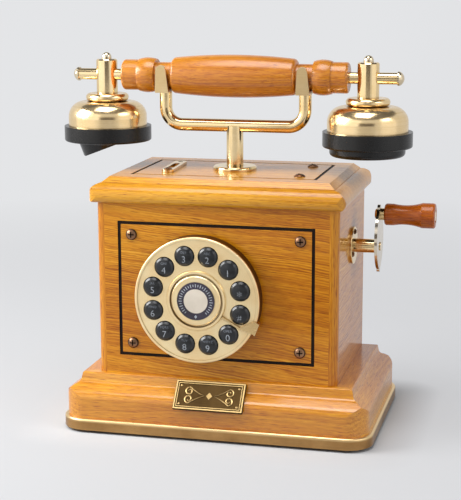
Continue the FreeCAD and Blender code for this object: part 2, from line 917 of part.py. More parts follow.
def build_lid():
    at = ("0", "box_mid", "box_top")
    side_section = mirrored(lid_section("lid_half_y"))
    front_section = mirrored(lid_section("lid_half_x"))
    plan_outline = rounded_rectangle("lid_half_x", "lid_half_y", "lid_corner")
    along_x = padded("lid_along_x", side_section, "2 * lid_half_x", "YZ", at, midplane=True)
    along_y = padded("lid_along_y", front_section, "2 * lid_half_y", "XZ", at, midplane=True)
    plan = padded("lid_plan", plan_outline, "lid_height", at=at)
    groove_at = ("0", "box_mid", "lid_top - groove_depth")
    groove_half = ("lid_groove_width / 2", "lid_groove_depth / 2", "groove_width")
    groove = frame("lid_groove", *groove_half, "groove_depth", groove_at)
    bush_hole = rod(
        "bush_hole", "post_r + run_gap + bush_wall + pilot_gap", "lid_height", ("0", "box_mid", "box_top")
    )
    seats = LID_SCREWS + [LEVER_PIVOT]
    holes = [pilot(f"lid_hole_{index}", "case", seat, "+z") for index, seat in enumerate(seats)]
    node("lid", cut("lid", common("lid_block", along_x, along_y, plan), groove, bush_hole, *holes))
    node("lid_inlay", frame("lid_inlay", *groove_half, "groove_depth - inlay_sink", groove_at))


def build_screws():
    pivot = shifted(LEVER_PIVOT, 2, "lever_thick + 2 * lever_lift")
    seats = [("case", at, "-y") for at in FRONT_SCREWS]
    seats += [("case", at, "+z") for at in LID_SCREWS]
    seats += [("pivot", pivot, "+z")]
    screws = [screw(f"case_screw_{index}", *seat) for index, seat in enumerate(seats)]
    node("case_screws", group("case_screws", *screws))
    seats = [(at, "+y") for at in DIAL_SCREWS] + [(at, "+x") for at in CRANK_SCREWS]
    screws = [screw(f"small_screw_{index}", "small", at, axis) for index, (at, axis) in enumerate(seats)]
    node("small_screws", group("small_screws", *screws))


def dial_angle(index):
    return 15 + 360 / BUTTON_COUNT * index


def on_button_ring(index, depth):
    """A place on the circle of the buttons, at a depth along Y."""
    angle = dial_angle(index)
    return (f"dial_x + button_ring * cos({angle})", depth, f"dial_z + button_ring * sin({angle})")


def build_dial():
    centre = ("dial_x", "box_front", "dial_z")
    well = "dial_thick - well_depth"
    inside = "dial_r - dial_wall"
    outline = [
        ("0", "0"),
        ("hub_r", "0"),
        ("hub_r", "dial_thick - dial_skin"),
        (inside, "dial_thick - dial_skin"),
        (inside, "0"),
        ("dial_r", "0"),
        ("dial_r", "dial_thick + rim_rise - rim_round", "rim_round", 1),
        ("dial_r - rim_round", "dial_thick + rim_rise"),
        ("dial_r - rim_width", "dial_thick + rim_rise"),
        ("dial_r - rim_width", "dial_thick"),
        ("ring_out_r", "dial_thick"),
        ("ring_out_r - ring_bevel", "dial_thick + ring_rise"),
        ("ring_in_r + ring_bevel", "dial_thick + ring_rise"),
        ("ring_in_r", well),
        ("0", well),
    ]
    blank = turned("dial_blank", outline, centre, "-y")
    holes = [
        rod(f"button_hole_{index}", "button_hole_r", "dial_skin", on_button_ring(index, "skin_back"), "-y")
        for index in range(BUTTON_COUNT)
    ]
    tips = [pilot(f"dial_tip_{index}", "small", at, "+y") for index, at in enumerate(DIAL_SCREWS)]
    plate = node("dial_plate", cut("dial_plate", blank, *holes, *tips))

    well_y = "dial_face + well_depth"
    disc = [
        ("0", "0"),
        ("centre_r", "0"),
        ("centre_r", "centre_thick - centre_bevel"),
        ("centre_r - centre_bevel", "centre_thick"),
        ("0", "centre_thick"),
    ]
    node("dial_centre", turned("dial_centre", disc, ("dial_x", well_y, "dial_z"), "-y"))
    label_at = ("dial_x", f"{well_y} - centre_thick", "dial_z")
    ring_r = "label_disc_r + fit_gap"
    ring = [
        (ring_r, "0"),
        ("label_ring_r", "0"),
        ("label_ring_r", "label_thick"),
        (ring_r, "label_thick"),
    ]
    node("label_ring", turned("label_ring", ring, label_at, "-y"))
    badge = [("0", "0"), ("label_disc_r", "0"), ("label_disc_r", "label_thick"), ("0", "label_thick")]
    node("label_disc", turned("label_disc", badge, label_at, "-y"))

    ridge = "stop_ridge_width / 2"
    lug = [
        ("-stop_lug_near", "stop_lug_in"),
        ("-stop_lug_near", "stop_lug_out"),
        ("-stop_lug_far", "stop_lug_out - stop_ridge_width"),
        ("-stop_lug_far", "stop_lug_in - stop_ridge_width"),
    ]
    ridge_start = [(ridge, "ring_out_r"), (ridge, "stop_flare_r")]
    ridge_end = [(f"-{ridge}", "stop_flare_r"), (f"-{ridge}", "ring_out_r")]
    swing = FreeCAD.Rotation(FreeCAD.Vector(0, 0, 1), value("stop_angle") - 90)
    stop_turn = AXIS_TURNS["-y"].multiply(swing)
    face_at = ("dial_x", "dial_face", "dial_z")
    blade = padded("stop_blade", ridge_start + lug + ridge_end, "stop_height", at=face_at, turn=stop_turn)
    lug_at = shifted(face_at, 1, "stop_drop")
    tab = padded("stop_tab", lug, "stop_height + stop_drop", at=lug_at, turn=stop_turn)
    node("finger_stop", cut("finger_stop", join("stop_blank", blade, tab), plate))


def build_keypad():
    barrel_r = "button_hole_r - button_gap"
    flange_r = "button_hole_r + button_flange"
    edge = "button_flange_thick + dial_skin - button_seat + button_edge"
    shoulder = f"{edge} + button_bevel_rise"
    outline = [
        ("0", "0"),
        (flange_r, "0"),
        (flange_r, "button_flange_thick"),
        (barrel_r, "button_flange_thick"),
        (barrel_r, edge),
        dome(f"{barrel_r} - button_bevel", shoulder, "button_dome"),
        ("0", f"{shoulder} + button_dome"),
    ]
    depth = "skin_back + button_seat + button_flange_thick"
    for index, name in enumerate(BUTTON_NAMES):
        label = "button_" + name
        node(label, turned(label, outline, on_button_ring(index, depth), "-y"))

    inner = "hub_r + keypad_gap"
    outer = "dial_r - dial_wall - keypad_gap"
    for label, low, high in (
        ("keypad_board", "0", "board_thick"),
        ("keypad_mat", "board_thick", "board_thick + mat_thick"),
    ):
        ring = [(inner, low), (outer, low), (outer, high), (inner, high)]
        node(label, turned(label, ring, ("dial_x", "box_front", "dial_z"), "-y"))


def build_cradle():
    bore = "post_r + run_gap"
    bush_r = f"{bore} + bush_wall"
    foot = "-lid_height - bush_below"
    outline = [
        (bore, foot),
        (bush_r, foot),
        (bush_r, "0"),
        ("cradle_flange_r", "0"),
        ("cradle_flange_r", "cradle_flange_thick - cradle_flange_round", "cradle_flange_round", 1),
        ("cradle_flange_r - cradle_flange_round", "cradle_flange_thick"),
        (bore, "cradle_flange_thick"),
    ]
    node("cradle_flange", turned("cradle_flange", outline, ("0", "box_mid", "lid_top")))

    post = rod("cradle_post", "post_r", "bar_z - post_end", ("0", "box_mid", "post_end"))
    straight = "arm_x - bar_bend"
    bar = rod("cradle_bar", "bar_r", f"2 * ({straight})", (f"-({straight})", "box_mid", "bar_z"), "+x")
    pieces = [post, bar]
    for side, start in ((1, -90), (-1, 180)):
        bend = add("Part::Torus", f"cradle_bend_{start}", Radius1="bar_bend", Radius2="bar_r")
        bend.Angle3 = 90
        upright = FreeCAD.Rotation(FreeCAD.Vector(1, 0, 0), 90)
        quarter = FreeCAD.Rotation(FreeCAD.Vector(0, 0, 1), start)
        place(bend, (f"{side} * ({straight})", "box_mid", "bar_z + bar_bend"), upright.multiply(quarter))
        arm_length = "saddle_z - saddle_thick - bar_z - bar_bend"
        arm_low = (f"{side} * arm_x", "box_mid", "bar_z + bar_bend")
        arm = rod(f"cradle_arm_{start}", "bar_r", arm_length, arm_low)
        pieces += [bend, arm]
    node("cradle", join("cradle", *pieces))

    saddles = [saddle(f"saddle_{name}", f"{side} * arm_x") for name, side in (("left", -1), ("right", 1))]
    node("cradle_saddles", group("cradle_saddles", *saddles))

    clip = [
        ("post_r + fit_gap", "0"),
        ("clip_r", "0"),
        ("clip_r", "clip_thick"),
        ("post_r + fit_gap", "clip_thick"),
    ]
    node("post_clip", turned("post_clip", clip, ("0", "box_mid", "clip_top - clip_thick")))


def saddle(name, x):
    """A bent strip under the handle's neck with a rounded prong in front and behind."""
    inside = "neck_r + rest_gap"
    foot = "saddle_foot / 2"
    tip = "saddle_tip / 2"
    half = [
        (foot, "-saddle_thick"),
        (foot, "0"),
        (tip, f"saddle_height - {tip}", tip, 1),
        ("0", "saddle_height"),
    ]
    base = block(
        name + "_base",
        ("saddle_foot", f"2 * ({inside} + saddle_thick)", "saddle_thick"),
        (f"{x} - {foot}", f"box_mid - {inside} - saddle_thick", "saddle_z - saddle_thick"),
    )
    prongs = []
    for side, y in ((1, f"box_mid - ({inside})"), (-1, f"box_mid + {inside} + saddle_thick")):
        prong = padded(
            f"{name}_prong_{side + 1}",
            mirrored(half),
            "saddle_thick",
            "XZ",
            (x, y, "saddle_z"),
            FreeCAD.Rotation(FreeCAD.Vector(1, 0, 0), side * value("saddle_flare")),
        )
        prongs.append(prong)
    return join(name, base, *prongs)


def build_hook():
    plate = block(
        "bracket_plate",
        ("bracket_width", "bracket_depth", "bracket_thick"),
        ("-bracket_width / 2", "box_mid - bracket_depth / 2", "box_top - bracket_thick"),
    )
    leg_y = "box_mid - bracket_leg_depth / 2"
    legs = [
        block(
            f"bracket_leg_{side + 1}",
            ("bracket_thick", "bracket_leg_depth", "bracket_drop"),
            (x, leg_y, "web_top"),
        )
        for side, x in ((-1, "-bracket_leg_x - bracket_thick"), (1, "bracket_leg_x"))
    ]
    web = block(
        "bracket_web",
        ("2 * (bracket_leg_x + bracket_thick)", "bracket_leg_depth", "bracket_thick"),
        ("-bracket_leg_x - bracket_thick", leg_y, "web_top - bracket_thick"),
    )
    bush = rod(
        "bracket_hole",
        "post_r + run_gap + bush_wall + rest_gap",
        "bracket_thick",
        ("0", "box_mid", "box_top - bracket_thick"),
    )
    node("hook_bracket", cut("hook_bracket", join("bracket_blank", plate, *legs, web), bush))

    coil = [
        ("spring_r - spring_wire", "0"),
        ("spring_r", "0"),
        ("spring_r", "post_end - web_top"),
        ("spring_r - spring_wire", "post_end - web_top"),
    ]
    node("hook_spring", turned("hook_spring", coil, ("0", "box_mid", "web_top")))

    case = block(
        "switch_case",
        ("switch_thick", "switch_depth", "switch_height"),
        (
            "bracket_leg_x - switch_thick",
            "box_mid - switch_depth / 2",
            "box_top - switch_drop - switch_height",
        ),
    )
    plunger = rod(
        "switch_plunger",
        "plunger_r",
        "clip_top - clip_thick - rest_gap - box_top + switch_drop",
        ("bracket_leg_x - switch_thick + plunger_r", "box_mid", "box_top - switch_drop"),
    )
    node("hook_switch", join("hook_switch", case, plunger))


def round_ended(start, end, radius):
    """A long outline along X with half-round ends centred on its start and end."""
    return [
        (start, f"-({radius})"),
        (end, f"-({radius})", radius, 1),
        (f"{end} + {radius}", "0", radius, 1),
        (end, radius),
        (start, radius, radius, 1),
        (f"{start} - {radius}", "0", radius, 1),
    ]


def build_lever():
    radius = "lever_width / 2"
    far = f"lever_length - 2 * {radius}"
    blank = padded("lever_blank", round_ended("0", far, radius), "lever_thick")
    eye = rod("lever_eye", "lever_eye_r", "lever_thick", (far, "0", "0"))
    slot_outline = round_ended("lever_slot_start", "lever_slot_end", "lever_slot_width / 2")
    slot = padded("lever_slot", slot_outline, "lever_thick")
    pivot = rod("lever_hole", "case_shank_r + run_gap", "lever_thick", ORIGIN)
    at = shifted(LEVER_PIVOT, 2, "lever_lift")
    turn = FreeCAD.Rotation(FreeCAD.Vector(0, 0, 1), value("lever_angle"))
    node("ringer_lever", place(cut("ringer_lever", blank, slot, eye, pivot), at, turn))


def handle_outline():
    """The turned handle's section along its axis, with the bore for the rod."""
    crown = "(((bead_out - bead_in) / 2) ^ 2 + bead_crown ^ 2) / (2 * bead_crown)"
    swell = "barrel_r - barrel_end_r"
    half_barrel = "barrel_half - barrel_end_round"
    bend = f"(({half_barrel}) ^ 2 + ({swell}) ^ 2) / (2 * ({swell}))"
    bore = "rod_r + fit_gap"
    bead_edge = "bead_r - bead_crown"
    return [
        (bore, "-handle_half"),
        ("handle_end_r - handle_end_round", "-handle_half", "handle_end_round", 1),
        ("handle_end_r", "handle_end_round - handle_half"),
        ("handle_end_r", "-bead_out"),
        (bead_edge, "-bead_out", crown, 1),
        (bead_edge, "-bead_in"),
        ("neck_r", "-bead_in"),
        ("neck_r", "-barrel_half"),
        ("barrel_end_r - barrel_end_round", "-barrel_half", "barrel_end_round", 1),
        ("barrel_end_r", f"-({half_barrel})", bend, 1),
        ("barrel_end_r", half_barrel, "barrel_end_round", 1),
        ("barrel_end_r - barrel_end_round", "barrel_half"),
        ("neck_r", "barrel_half"),
        ("neck_r", "bead_in"),
        (bead_edge, "bead_in", crown, 1),
        (bead_edge, "bead_out"),
        ("handle_end_r", "bead_out"),
        ("handle_end_r", "handle_half - handle_end_round", "handle_end_round", 1),
        ("handle_end_r - handle_end_round", "handle_half"),
        (bore, "handle_half"),
    ]


def dome_nut(name, kind, at, axis):
    outline = [
        ("0", "0"),
        (f"{kind}_r", "0"),
        dome(f"{kind}_r", f"{kind}_rim", f"{kind}_dome"),
        ("0", f"{kind}_rim + {kind}_dome"),
    ]
    return turned(name, outline, at, axis)


def build_handset():
    centre = ("0", "box_mid", "handset_z")
    node("handset_handle", turned("handset_handle", handle_outline(), centre, "+x"))
    bar = rod("handset_rod", "rod_r", "2 * rod_half", ("-rod_half", "box_mid", "handset_z"), "+x")
    node("handset_rod", bar)
    pillar_top = "handset_z + pillar_above"
    nuts = [
        dome_nut("rod_nut_right", "nut", ("rod_half", "box_mid", "handset_z"), "+x"),
        dome_nut("rod_nut_left", "nut", ("-rod_half", "box_mid", "handset_z"), "-x"),
        dome_nut("finial_right", "finial", ("capsule_x", "box_mid", pillar_top), "+z"),
        dome_nut("finial_left", "finial", ("-capsule_x", "box_mid", pillar_top), "+z"),
    ]
    node("dome_nuts", group("dome_nuts", *nuts))

    pillar = [
        ("0", "-spigot_length"),
        ("spigot_r", "-spigot_length"),
        ("spigot_r", "0"),
        ("pillar_r", "0"),
        ("pillar_r", "pillar_below + pillar_above - pillar_bevel"),
        ("pillar_r - pillar_bevel", "pillar_below + pillar_above"),
        ("0", "pillar_below + pillar_above"),
    ]
    pillars = []
    bells = []
    for name, side in (("left", "-1"), ("right", "1")):
        x = f"{side} * capsule_x"
        blank = turned(f"pillar_{name}_blank", pillar, (x, "box_mid", "collar_top"))
        cross = rod(
            f"pillar_{name}_cross",
            "rod_r + fit_gap",
            "4 * pillar_r",
            (f"{x} - 2 * pillar_r", "box_mid", "handset_z"),
            "+x",
        )
        pillars.append(cut(f"pillar_{name}", blank, cross))
        bells.append(turned(f"bell_{name}", bell_outline(), (x, "box_mid", "cap_top")))
    node("capsule_pillars", group("capsule_pillars", *pillars))
    node("handset_bells", group("handset_bells", *bells))
    build_caps()


def bell_outline():
    """A spun bell with its rounded collar, its rim standing in the black cap."""
    bore = "spigot_r + fit_gap"
    collar_bend = "collar_height / 2"
    collar_in = f"collar_r - {collar_bend}"
    flat_r = "bell_r - bell_round"
    inner_bend = "bell_round - bell_wall"
    return [
        ("bell_r - bell_wall", "-bell_lap"),
        ("bell_r", "-bell_lap"),
        ("bell_r", "bell_height - bell_round", "bell_round", 1),
        (flat_r, "bell_height"),
        (collar_in, "bell_height", collar_bend, 1),
        ("collar_r", f"bell_height + {collar_bend}", collar_bend, 1),
        (collar_in, "bell_height + collar_height"),
        (bore, "bell_height + collar_height"),
        (bore, "bell_height - bell_wall"),
        (flat_r, "bell_height - bell_wall", inner_bend, -1),
        ("bell_r - bell_wall", "bell_height - bell_round"),
    ]


def cap_outline(face):
    """A black cap that holds the bell's rim; face lists its underside from the axis outwards."""
    seat = "bell_r + fit_gap"
    ledge = "cap_height - bell_lap"
    return face + [
        ("cap_r - cap_round", "0", "cap_round", 1),
        ("cap_r", "cap_round"),
        ("cap_r", "cap_height"),
        (seat, "cap_height"),
        (seat, ledge),
        ("cap_well_r", ledge),
        ("cap_well_r", "cap_floor"),
        ("0", "cap_floor"),
    ]


def build_caps():
    dish_bend = "(dish_r ^ 2 + dish_depth ^ 2) / (2 * dish_depth)"
    ear_face = [
        ("0", "dish_depth - lip_height", dish_bend, -1),
        ("dish_r", "-lip_height"),
        ("lip_r - lip_round", "-lip_height", "lip_round", 1),
        ("lip_r", "lip_round - lip_height"),
        ("lip_r", "0"),
    ]
    ear_blank = turned("ear_blank", cap_outline(ear_face), ("capsule_x", "box_mid", "cap_low"))
    depth = "lip_height + cap_floor"
    hole_low = "cap_low - lip_height"
    holes = [rod("sound_hole_mid", "sound_hole_r", depth, ("capsule_x", "box_mid", hole_low))]
    for angle in range(0, 360, 60):
        x = f"capsule_x + sound_hole_ring * cos({angle})"
        y = f"box_mid + sound_hole_ring * sin({angle})"
        holes.append(rod(f"sound_hole_{angle}", "sound_hole_r", depth, (x, y, hole_low)))
    node("ear_cap", cut("ear_cap", ear_blank, *holes))

    flat_face = [("0", "0")]
    mouth_blank = turned("mouth_blank", cap_outline(flat_face), ("-capsule_x", "box_mid", "cap_low"))
    horn_x = "-capsule_x - horn_offset"
    length = "horn_drop + horn_root"
    cone = add("Part::Cone", "horn_cone", Radius1="horn_tip_r", Radius2="horn_r", Height=length)
    place(cone, (horn_x, "box_mid", "cap_low - horn_drop"))
    left = f"{horn_x} - horn_r - horn_root"
    right = f"{horn_x} + horn_r + horn_root"
    wedge = [
        (left, "cap_low - horn_drop - horn_root"),
        (f"{horn_x} - horn_tip_r + horn_tip_flat", "cap_low - horn_drop - horn_root"),
        (right, "cap_low"),
        (right, "cap_low + 2 * horn_root"),
        (left, "cap_low + 2 * horn_root"),
    ]
    slant = padded("horn_slant", wedge, "3 * horn_r", "XZ", ("0", "box_mid", "0"), midplane=True)
    horn = common("horn", cone, slant)
    node("mouth_cap", join("mouth_cap", mouth_blank, horn))

    disc = [("0", "0"), ("capsule_r", "0"), ("capsule_r", "capsule_thick"), ("0", "capsule_thick")]
    capsules = [
        turned(f"capsule_{name}", disc, (f"{side} * capsule_x", "box_mid", "cap_low + cap_floor"))
        for name, side in (("receiver", 1), ("transmitter", -1))
    ]
    node("handset_capsules", group("handset_capsules", *capsules))


def build_crank():
    seat = ("wall_x", "box_mid", "crank_z")
    bore = "shaft_r + run_gap"
    bush_r = f"{bore} + crank_bush_wall"
    inside = "-panel_thick - crank_bush_inside"
    flange = [
        (bore, inside),
        (bush_r, inside),
        (bush_r, "0"),
        ("crank_flange_r", "0"),
        ("crank_flange_r", "crank_flange_thick - crank_flange_round", "crank_flange_round", 1),
        ("crank_flange_r - crank_flange_round", "crank_flange_thick"),
        (bore, "crank_flange_thick"),
    ]
    blank = turned("crank_flange_blank", flange, seat, "+x")
    holes = [pilot(f"flange_hole_{index}", "small", at, "+x") for index, at in enumerate(CRANK_SCREWS)]
    node("crank_flange", cut("crank_flange", blank, *holes))

    collar_high = f"{inside} - rest_gap"
    collar_low = f"{collar_high} - shaft_collar_thick"
    tail = "crank_reach + crank_arm_thick + shaft_rivet"
    shaft = [
        ("0", collar_low),
        ("shaft_collar_r", collar_low),
        ("shaft_collar_r", collar_high),
        ("shaft_r", collar_high),
        ("shaft_r", "crank_reach"),
        ("shaft_spigot_r", "crank_reach"),
        ("shaft_spigot_r", tail),
        ("0", tail),
    ]
    node("crank_shaft", turned("crank_shaft", shaft, seat, "+x"))

    low = "arm_tip_low - arm_down"
    high = "arm_up - arm_tip_top"
    chord = f"(({high} - ({low})) ^ 2 + (arm_tip_top - arm_tip_low) ^ 2)"
    bend = f"{chord} / (8 * arm_bulge) + arm_bulge / 2"
    leaf = [
        ("arm_tip_low", low, bend, 1),
        ("arm_tip_top", high, "arm_tip_top", 1),
        ("0", "arm_up", "arm_tip_top", 1),
        ("-arm_tip_top", high, bend, 1),
        ("-arm_tip_low", low, "arm_tip_low", 1),
        ("0", "-arm_down", "arm_tip_low", 1),
    ]
    arm_at = ("crank_arm_x", "box_mid", "crank_z")
    arm_blank = padded("crank_arm_blank", leaf, "crank_arm_thick", "YZ", arm_at)
    shaft_hole = rod("arm_shaft_hole", "shaft_spigot_r + fit_gap", "crank_arm_thick", arm_at, "+x")
    pin_at = shifted(arm_at, 2, "handle_offset")
    pin_hole = rod("arm_pin_hole", "pin_r + fit_gap", "crank_arm_thick", pin_at, "+x")
    node("crank_arm", cut("crank_arm", arm_blank, shaft_hole, pin_hole))

    spacer_high = "crank_arm_thick + spacer_length"
    grip_low = f"{spacer_high} + rest_gap"
    head_low = f"{grip_low} + grip_length - pin_head_thick"
    pin = [
        ("0", "-rivet_height"),
        ("rivet_r - rivet_height", "-rivet_height", "rivet_height", 1),
        ("rivet_r", "0"),
        ("pin_r", "0"),
        ("pin_r", "crank_arm_thick"),
        ("spacer_r", "crank_arm_thick"),
        ("spacer_r", spacer_high),
        ("pin_r", spacer_high),
        ("pin_r", head_low),
        ("pin_head_r", head_low),
        ("pin_head_r", f"{head_low} + pin_head_thick / 2"),
        ("pin_head_r - pin_head_thick / 2", f"{head_low} + pin_head_thick"),
        ("0", f"{head_low} + pin_head_thick"),
    ]
    node("crank_pin", turned("crank_pin", pin, pin_at, "+x"))

    span = "grip_swell - grip_shoulder"
    hollow = f"(({span}) ^ 2 + (grip_outer_r - grip_inner_r) ^ 2) / (8 * grip_hollow) + grip_hollow / 2"
    recess_r = "pin_head_r + rest_gap"
    recess_low = "grip_length - pin_head_thick - rest_gap"
    grip = [
        ("pin_r + run_gap", "0"),
        ("grip_inner_r - grip_round", "0", "grip_round", 1),
        ("grip_inner_r", "grip_round"),
        ("grip_inner_r", "grip_shoulder", hollow, -1),
        ("grip_outer_r", "grip_swell"),
        ("grip_outer_r", "grip_length - grip_round", "grip_round", 1),
        ("grip_outer_r - grip_round", "grip_length"),
        (recess_r, "grip_length"),
        (recess_r, recess_low),
        ("pin_r + run_gap", recess_low),
    ]
    node("crank_handle", turned("crank_handle", grip, shifted(pin_at, 0, grip_low), "+x"))


def build_works():
    corner = ("main_board_x - main_board_length / 2", "box_mid - main_board_depth / 2", "board_z")
    card = block("board_card", ("main_board_length", "main_board_depth", "board_thick"), corner)
    pieces = [card]
    legs_x = (corner[0], "main_board_x + main_board_length / 2 - main_board_leg")
    legs_y = (corner[1], "box_mid + main_board_depth / 2 - main_board_leg")
    for x in legs_x:
        for y in legs_y:
            name = f"board_leg_{len(pieces)}"
            size = ("main_board_leg", "main_board_leg", "main_board_lift")
            pieces.append(block(name, size, (x, y, "plinth_low")))
    chip = ("main_board_length / 4", "main_board_depth / 4", "chip_height")
    chip_at = ("main_board_x", "box_mid - main_board_depth / 8", "board_z + board_thick")
    pieces.append(block("board_chip", chip, chip_at))
    node("main_board", join("main_board", *pieces))

    speaker = [
        ("0", "0"),
        ("speaker_r", "0"),
        ("speaker_r", "speaker_height - speaker_cone"),
        ("speaker_magnet_r", "speaker_height - speaker_cone"),
        ("speaker_magnet_r", "speaker_height"),
        ("0", "speaker_height"),
    ]
    node("ringer_speaker", turned("ringer_speaker", speaker, ("speaker_x", "box_mid", "plinth_low")))

    jacks = []
    for name, side in (("line", -1), ("handset", 1)):
        x = f"{side} * jack_x"
        mouth = "box_back + jack_proud"
        case = block(
            f"{name}_jack_case",
            ("jack_width", "jack_depth", "jack_height"),
            (f"{x} - jack_width / 2", f"{mouth} - jack_depth", "jack_z - jack_height / 2"),
        )
        socket = block(
            f"{name}_jack_socket",
            ("socket_width", "socket_depth", "socket_height"),
            (f"{x} - socket_width / 2", f"{mouth} - socket_depth", "jack_z - socket_height / 2"),
        )
        jacks.append(cut(f"{name}_jack", case, socket))
    node("rear_jacks", group("rear_jacks", *jacks))


def check():
    """Stop with a message if any object failed or any sub-part is not a valid solid."""
    for item in doc.Objects:
        if "Invalid" in item.State or "Error" in item.State:
            raise RuntimeError(f"{item.Name} failed: {item.State}")
    for item in nodes:
        if item.Shape.isNull() or not item.Shape.isValid() or not item.Shape.Solids:
            raise RuntimeError(f"{item.Label} has no valid solid")


def write():
    os.makedirs("parts", exist_ok=True)
    for item in nodes:
        item.Shape.exportStep(f"parts/{item.Label}.step")
    print(len(nodes), "sub-parts written")


build_foot()
build_plinth()
build_box()
build_lid()
build_screws()
build_dial()
build_keypad()
build_cradle()
build_hook()
build_lever()
build_handset()
build_crank()
build_works()
doc.recompute()
check()
write()
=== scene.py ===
import math

import bmesh
import bpy
from mathutils import Matrix, Vector


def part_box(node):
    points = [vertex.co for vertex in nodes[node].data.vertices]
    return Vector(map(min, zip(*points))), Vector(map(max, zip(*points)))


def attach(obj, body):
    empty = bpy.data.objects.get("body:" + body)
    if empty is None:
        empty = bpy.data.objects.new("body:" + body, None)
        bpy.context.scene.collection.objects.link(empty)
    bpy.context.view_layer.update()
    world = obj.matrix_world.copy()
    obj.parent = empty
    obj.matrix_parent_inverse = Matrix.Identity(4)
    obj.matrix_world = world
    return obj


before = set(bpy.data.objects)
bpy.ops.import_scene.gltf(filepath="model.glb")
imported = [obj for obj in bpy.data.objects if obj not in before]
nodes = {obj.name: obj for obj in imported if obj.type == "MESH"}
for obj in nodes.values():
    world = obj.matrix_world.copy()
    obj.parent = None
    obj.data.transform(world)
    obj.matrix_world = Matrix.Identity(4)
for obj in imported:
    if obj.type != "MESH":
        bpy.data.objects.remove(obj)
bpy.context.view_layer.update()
scene = bpy.context.scene
MM = 0.001

# Places on the telephone, in millimetres, and angles in degrees
DIAL = (-10.7, 98.0)
# Depths of the painted shade on the dial's skirt
DIAL_SHADED_SKIRT_Y = (-65.9, -64.4)
BUTTON_RING = 31.7
BUTTON_STEP = 30.0
BUTTON_FIRST = 15.0
CROWN_RADIUS = 22.833
CROWN_CENTRE_Y = -45.767
LABEL_FACE_Y = -68.4
CAPSULE_X = 94.6
BOX_MID_Y = 1.2
PLINTH_TOP = (96.2, 59.8)
PLATE_CENTRE = (-1.6, -67.26, 30.51)
PLATE_TILT = 40.0
PLATE_THICK = 1.4
PLATE_RUBBED = (0.1, 0.45)
# Heights of the painted highlight on the trim's top edge
TRIM_HIGHLIGHT_Z = (7.6, 9.2)
FOOT = (109.0, 73.0)
FRONT_SCREW_X = 59.3
FRONT_SCREW_MID = 61.15
FRONT_SCREW_HALF = 38.45
# Radii of the painted shade at the front screws' edges
FRONT_SCREW_SHADE_EDGE = (2.9, 3.6)
FRONT_RECESS_RADIUS = 2.3
FRONT_RECESS_Y = (-58.5, -58.2)
FRONT_LIMIT_Y = -50.0


def linear(red, green, blue):
    """Linear colour of an 8-bit display colour."""

    def channel(c):
        c /= 255
        return c / 12.92 if c <= 0.04045 else ((c + 0.055) / 1.055) ** 2.4

    return (channel(red), channel(green), channel(blue), 1.0)


class Graph:
    """The node graph of one material, with short names for the nodes it uses."""

    def __init__(self, name, **constants):
        self.material = bpy.data.materials.new(name)
        self.material.use_nodes = True
        self.tree = self.material.node_tree
        self.tree.nodes.clear()
        self.shader = self.node("ShaderNodeBsdfPrincipled")
        self.output = self.node("ShaderNodeOutputMaterial", {"Surface": self.shader.outputs[0]})
        self.place = self.node("ShaderNodeTexCoord").outputs["Object"]
        for key, number in constants.items():
            self.shader.inputs[key.replace("_", " ")].default_value = number

    def node(self, kind, inputs=None, **settings):
        made = self.tree.nodes.new(kind)
        for key, setting in settings.items():
            setattr(made, key, setting)
        for key, entry in (inputs or {}).items():
            self.feed(made.inputs[key], entry)
        return made

    def feed(self, socket, entry):
        if isinstance(entry, bpy.types.NodeSocket):
            self.tree.links.new(entry, socket)
        else:
            socket.default_value = entry

    def set(self, **entries):
        for key, entry in entries.items():
            self.feed(self.shader.inputs[key.replace("_", " ")], entry)

    def math(self, operation, a, b=0.0, c=0.0):
        return self.node("ShaderNodeMath", {0: a, 1: b, 2: c}, operation=operation).outputs[0]

    def minus(self, a, b):
        return self.math("SUBTRACT", a, b)

    def radius(self, a, b):
        squares = self.math("ADD", self.math("MULTIPLY", a, a), self.math("MULTIPLY", b, b))
        return self.math("SQRT", squares)

    def split(self, vector):
        return self.node("ShaderNodeSeparateXYZ", {0: vector}).outputs[:]

    def join(self, x, y, z):
        return self.node("ShaderNodeCombineXYZ", {0: x, 1: y, 2: z}).outputs[0]

    def scaled(self, vector, scale, shift):
        inputs = {"Vector": vector, "Scale": scale, "Location": shift}
        return self.node("ShaderNodeMapping", inputs).outputs[0]

    def noise(self, vector, scale, detail=2.0, rough=0.5):
        inputs = {"Vector": vector, "Scale": scale, "Detail": detail, "Roughness": rough}
        return self.node("ShaderNodeTexNoise", inputs).outputs[0]

    def noise_line(self, along, scale, detail=2.0):
        inputs = {"W": along, "Scale": scale, "Detail": detail}
        return self.node("ShaderNodeTexNoise", inputs, noise_dimensions="1D").outputs[0]

    def ramp(self, factor, stops):
        """Display colours at their places along a factor."""
        made = self.node("ShaderNodeValToRGB", {0: factor})
        elements = made.color_ramp.elements
        while len(elements) < len(stops):
            elements.new(0.5)
        for element, (place, colour) in zip(elements, stops):
            element.position = place
            element.color = linear(*colour)
        return made.outputs[0]

    def mix(self, factor, a, b, blend="MIX"):
        inputs = {0: factor, 6: a, 7: b}
        return self.node("ShaderNodeMix", inputs, data_type="RGBA", blend_type=blend).outputs[2]

    def choose(self, factor, a, b):
        return self.node("ShaderNodeMix", {0: factor, 2: a, 3: b}, data_type="FLOAT").outputs[0]

    def spread(self, factor, low, high, out_low=0.0, out_high=1.0):
        inputs = {0: factor, 1: low, 2: high, 3: out_low, 4: out_high}
        return self.node("ShaderNodeMapRange", inputs, clamp=True).outputs[0]

    def between(self, factor, limits):
        """Rises from 0 to 1 between two places in millimetres."""
        return self.spread(factor, limits[0] * MM, limits[1] * MM)

    def bump(self, height, strength, distance):
        inputs = {"Height": height, "Strength": strength, "Distance": distance}
        return self.node("ShaderNodeBump", inputs).outputs[0]

    def tint(self, factor, colour):
        """Lays a display colour over the base colour."""
        base = self.shader.inputs["Base Color"].links[0].from_socket
        self.set(Base_Color=self.mix(factor, base, linear(*colour)))


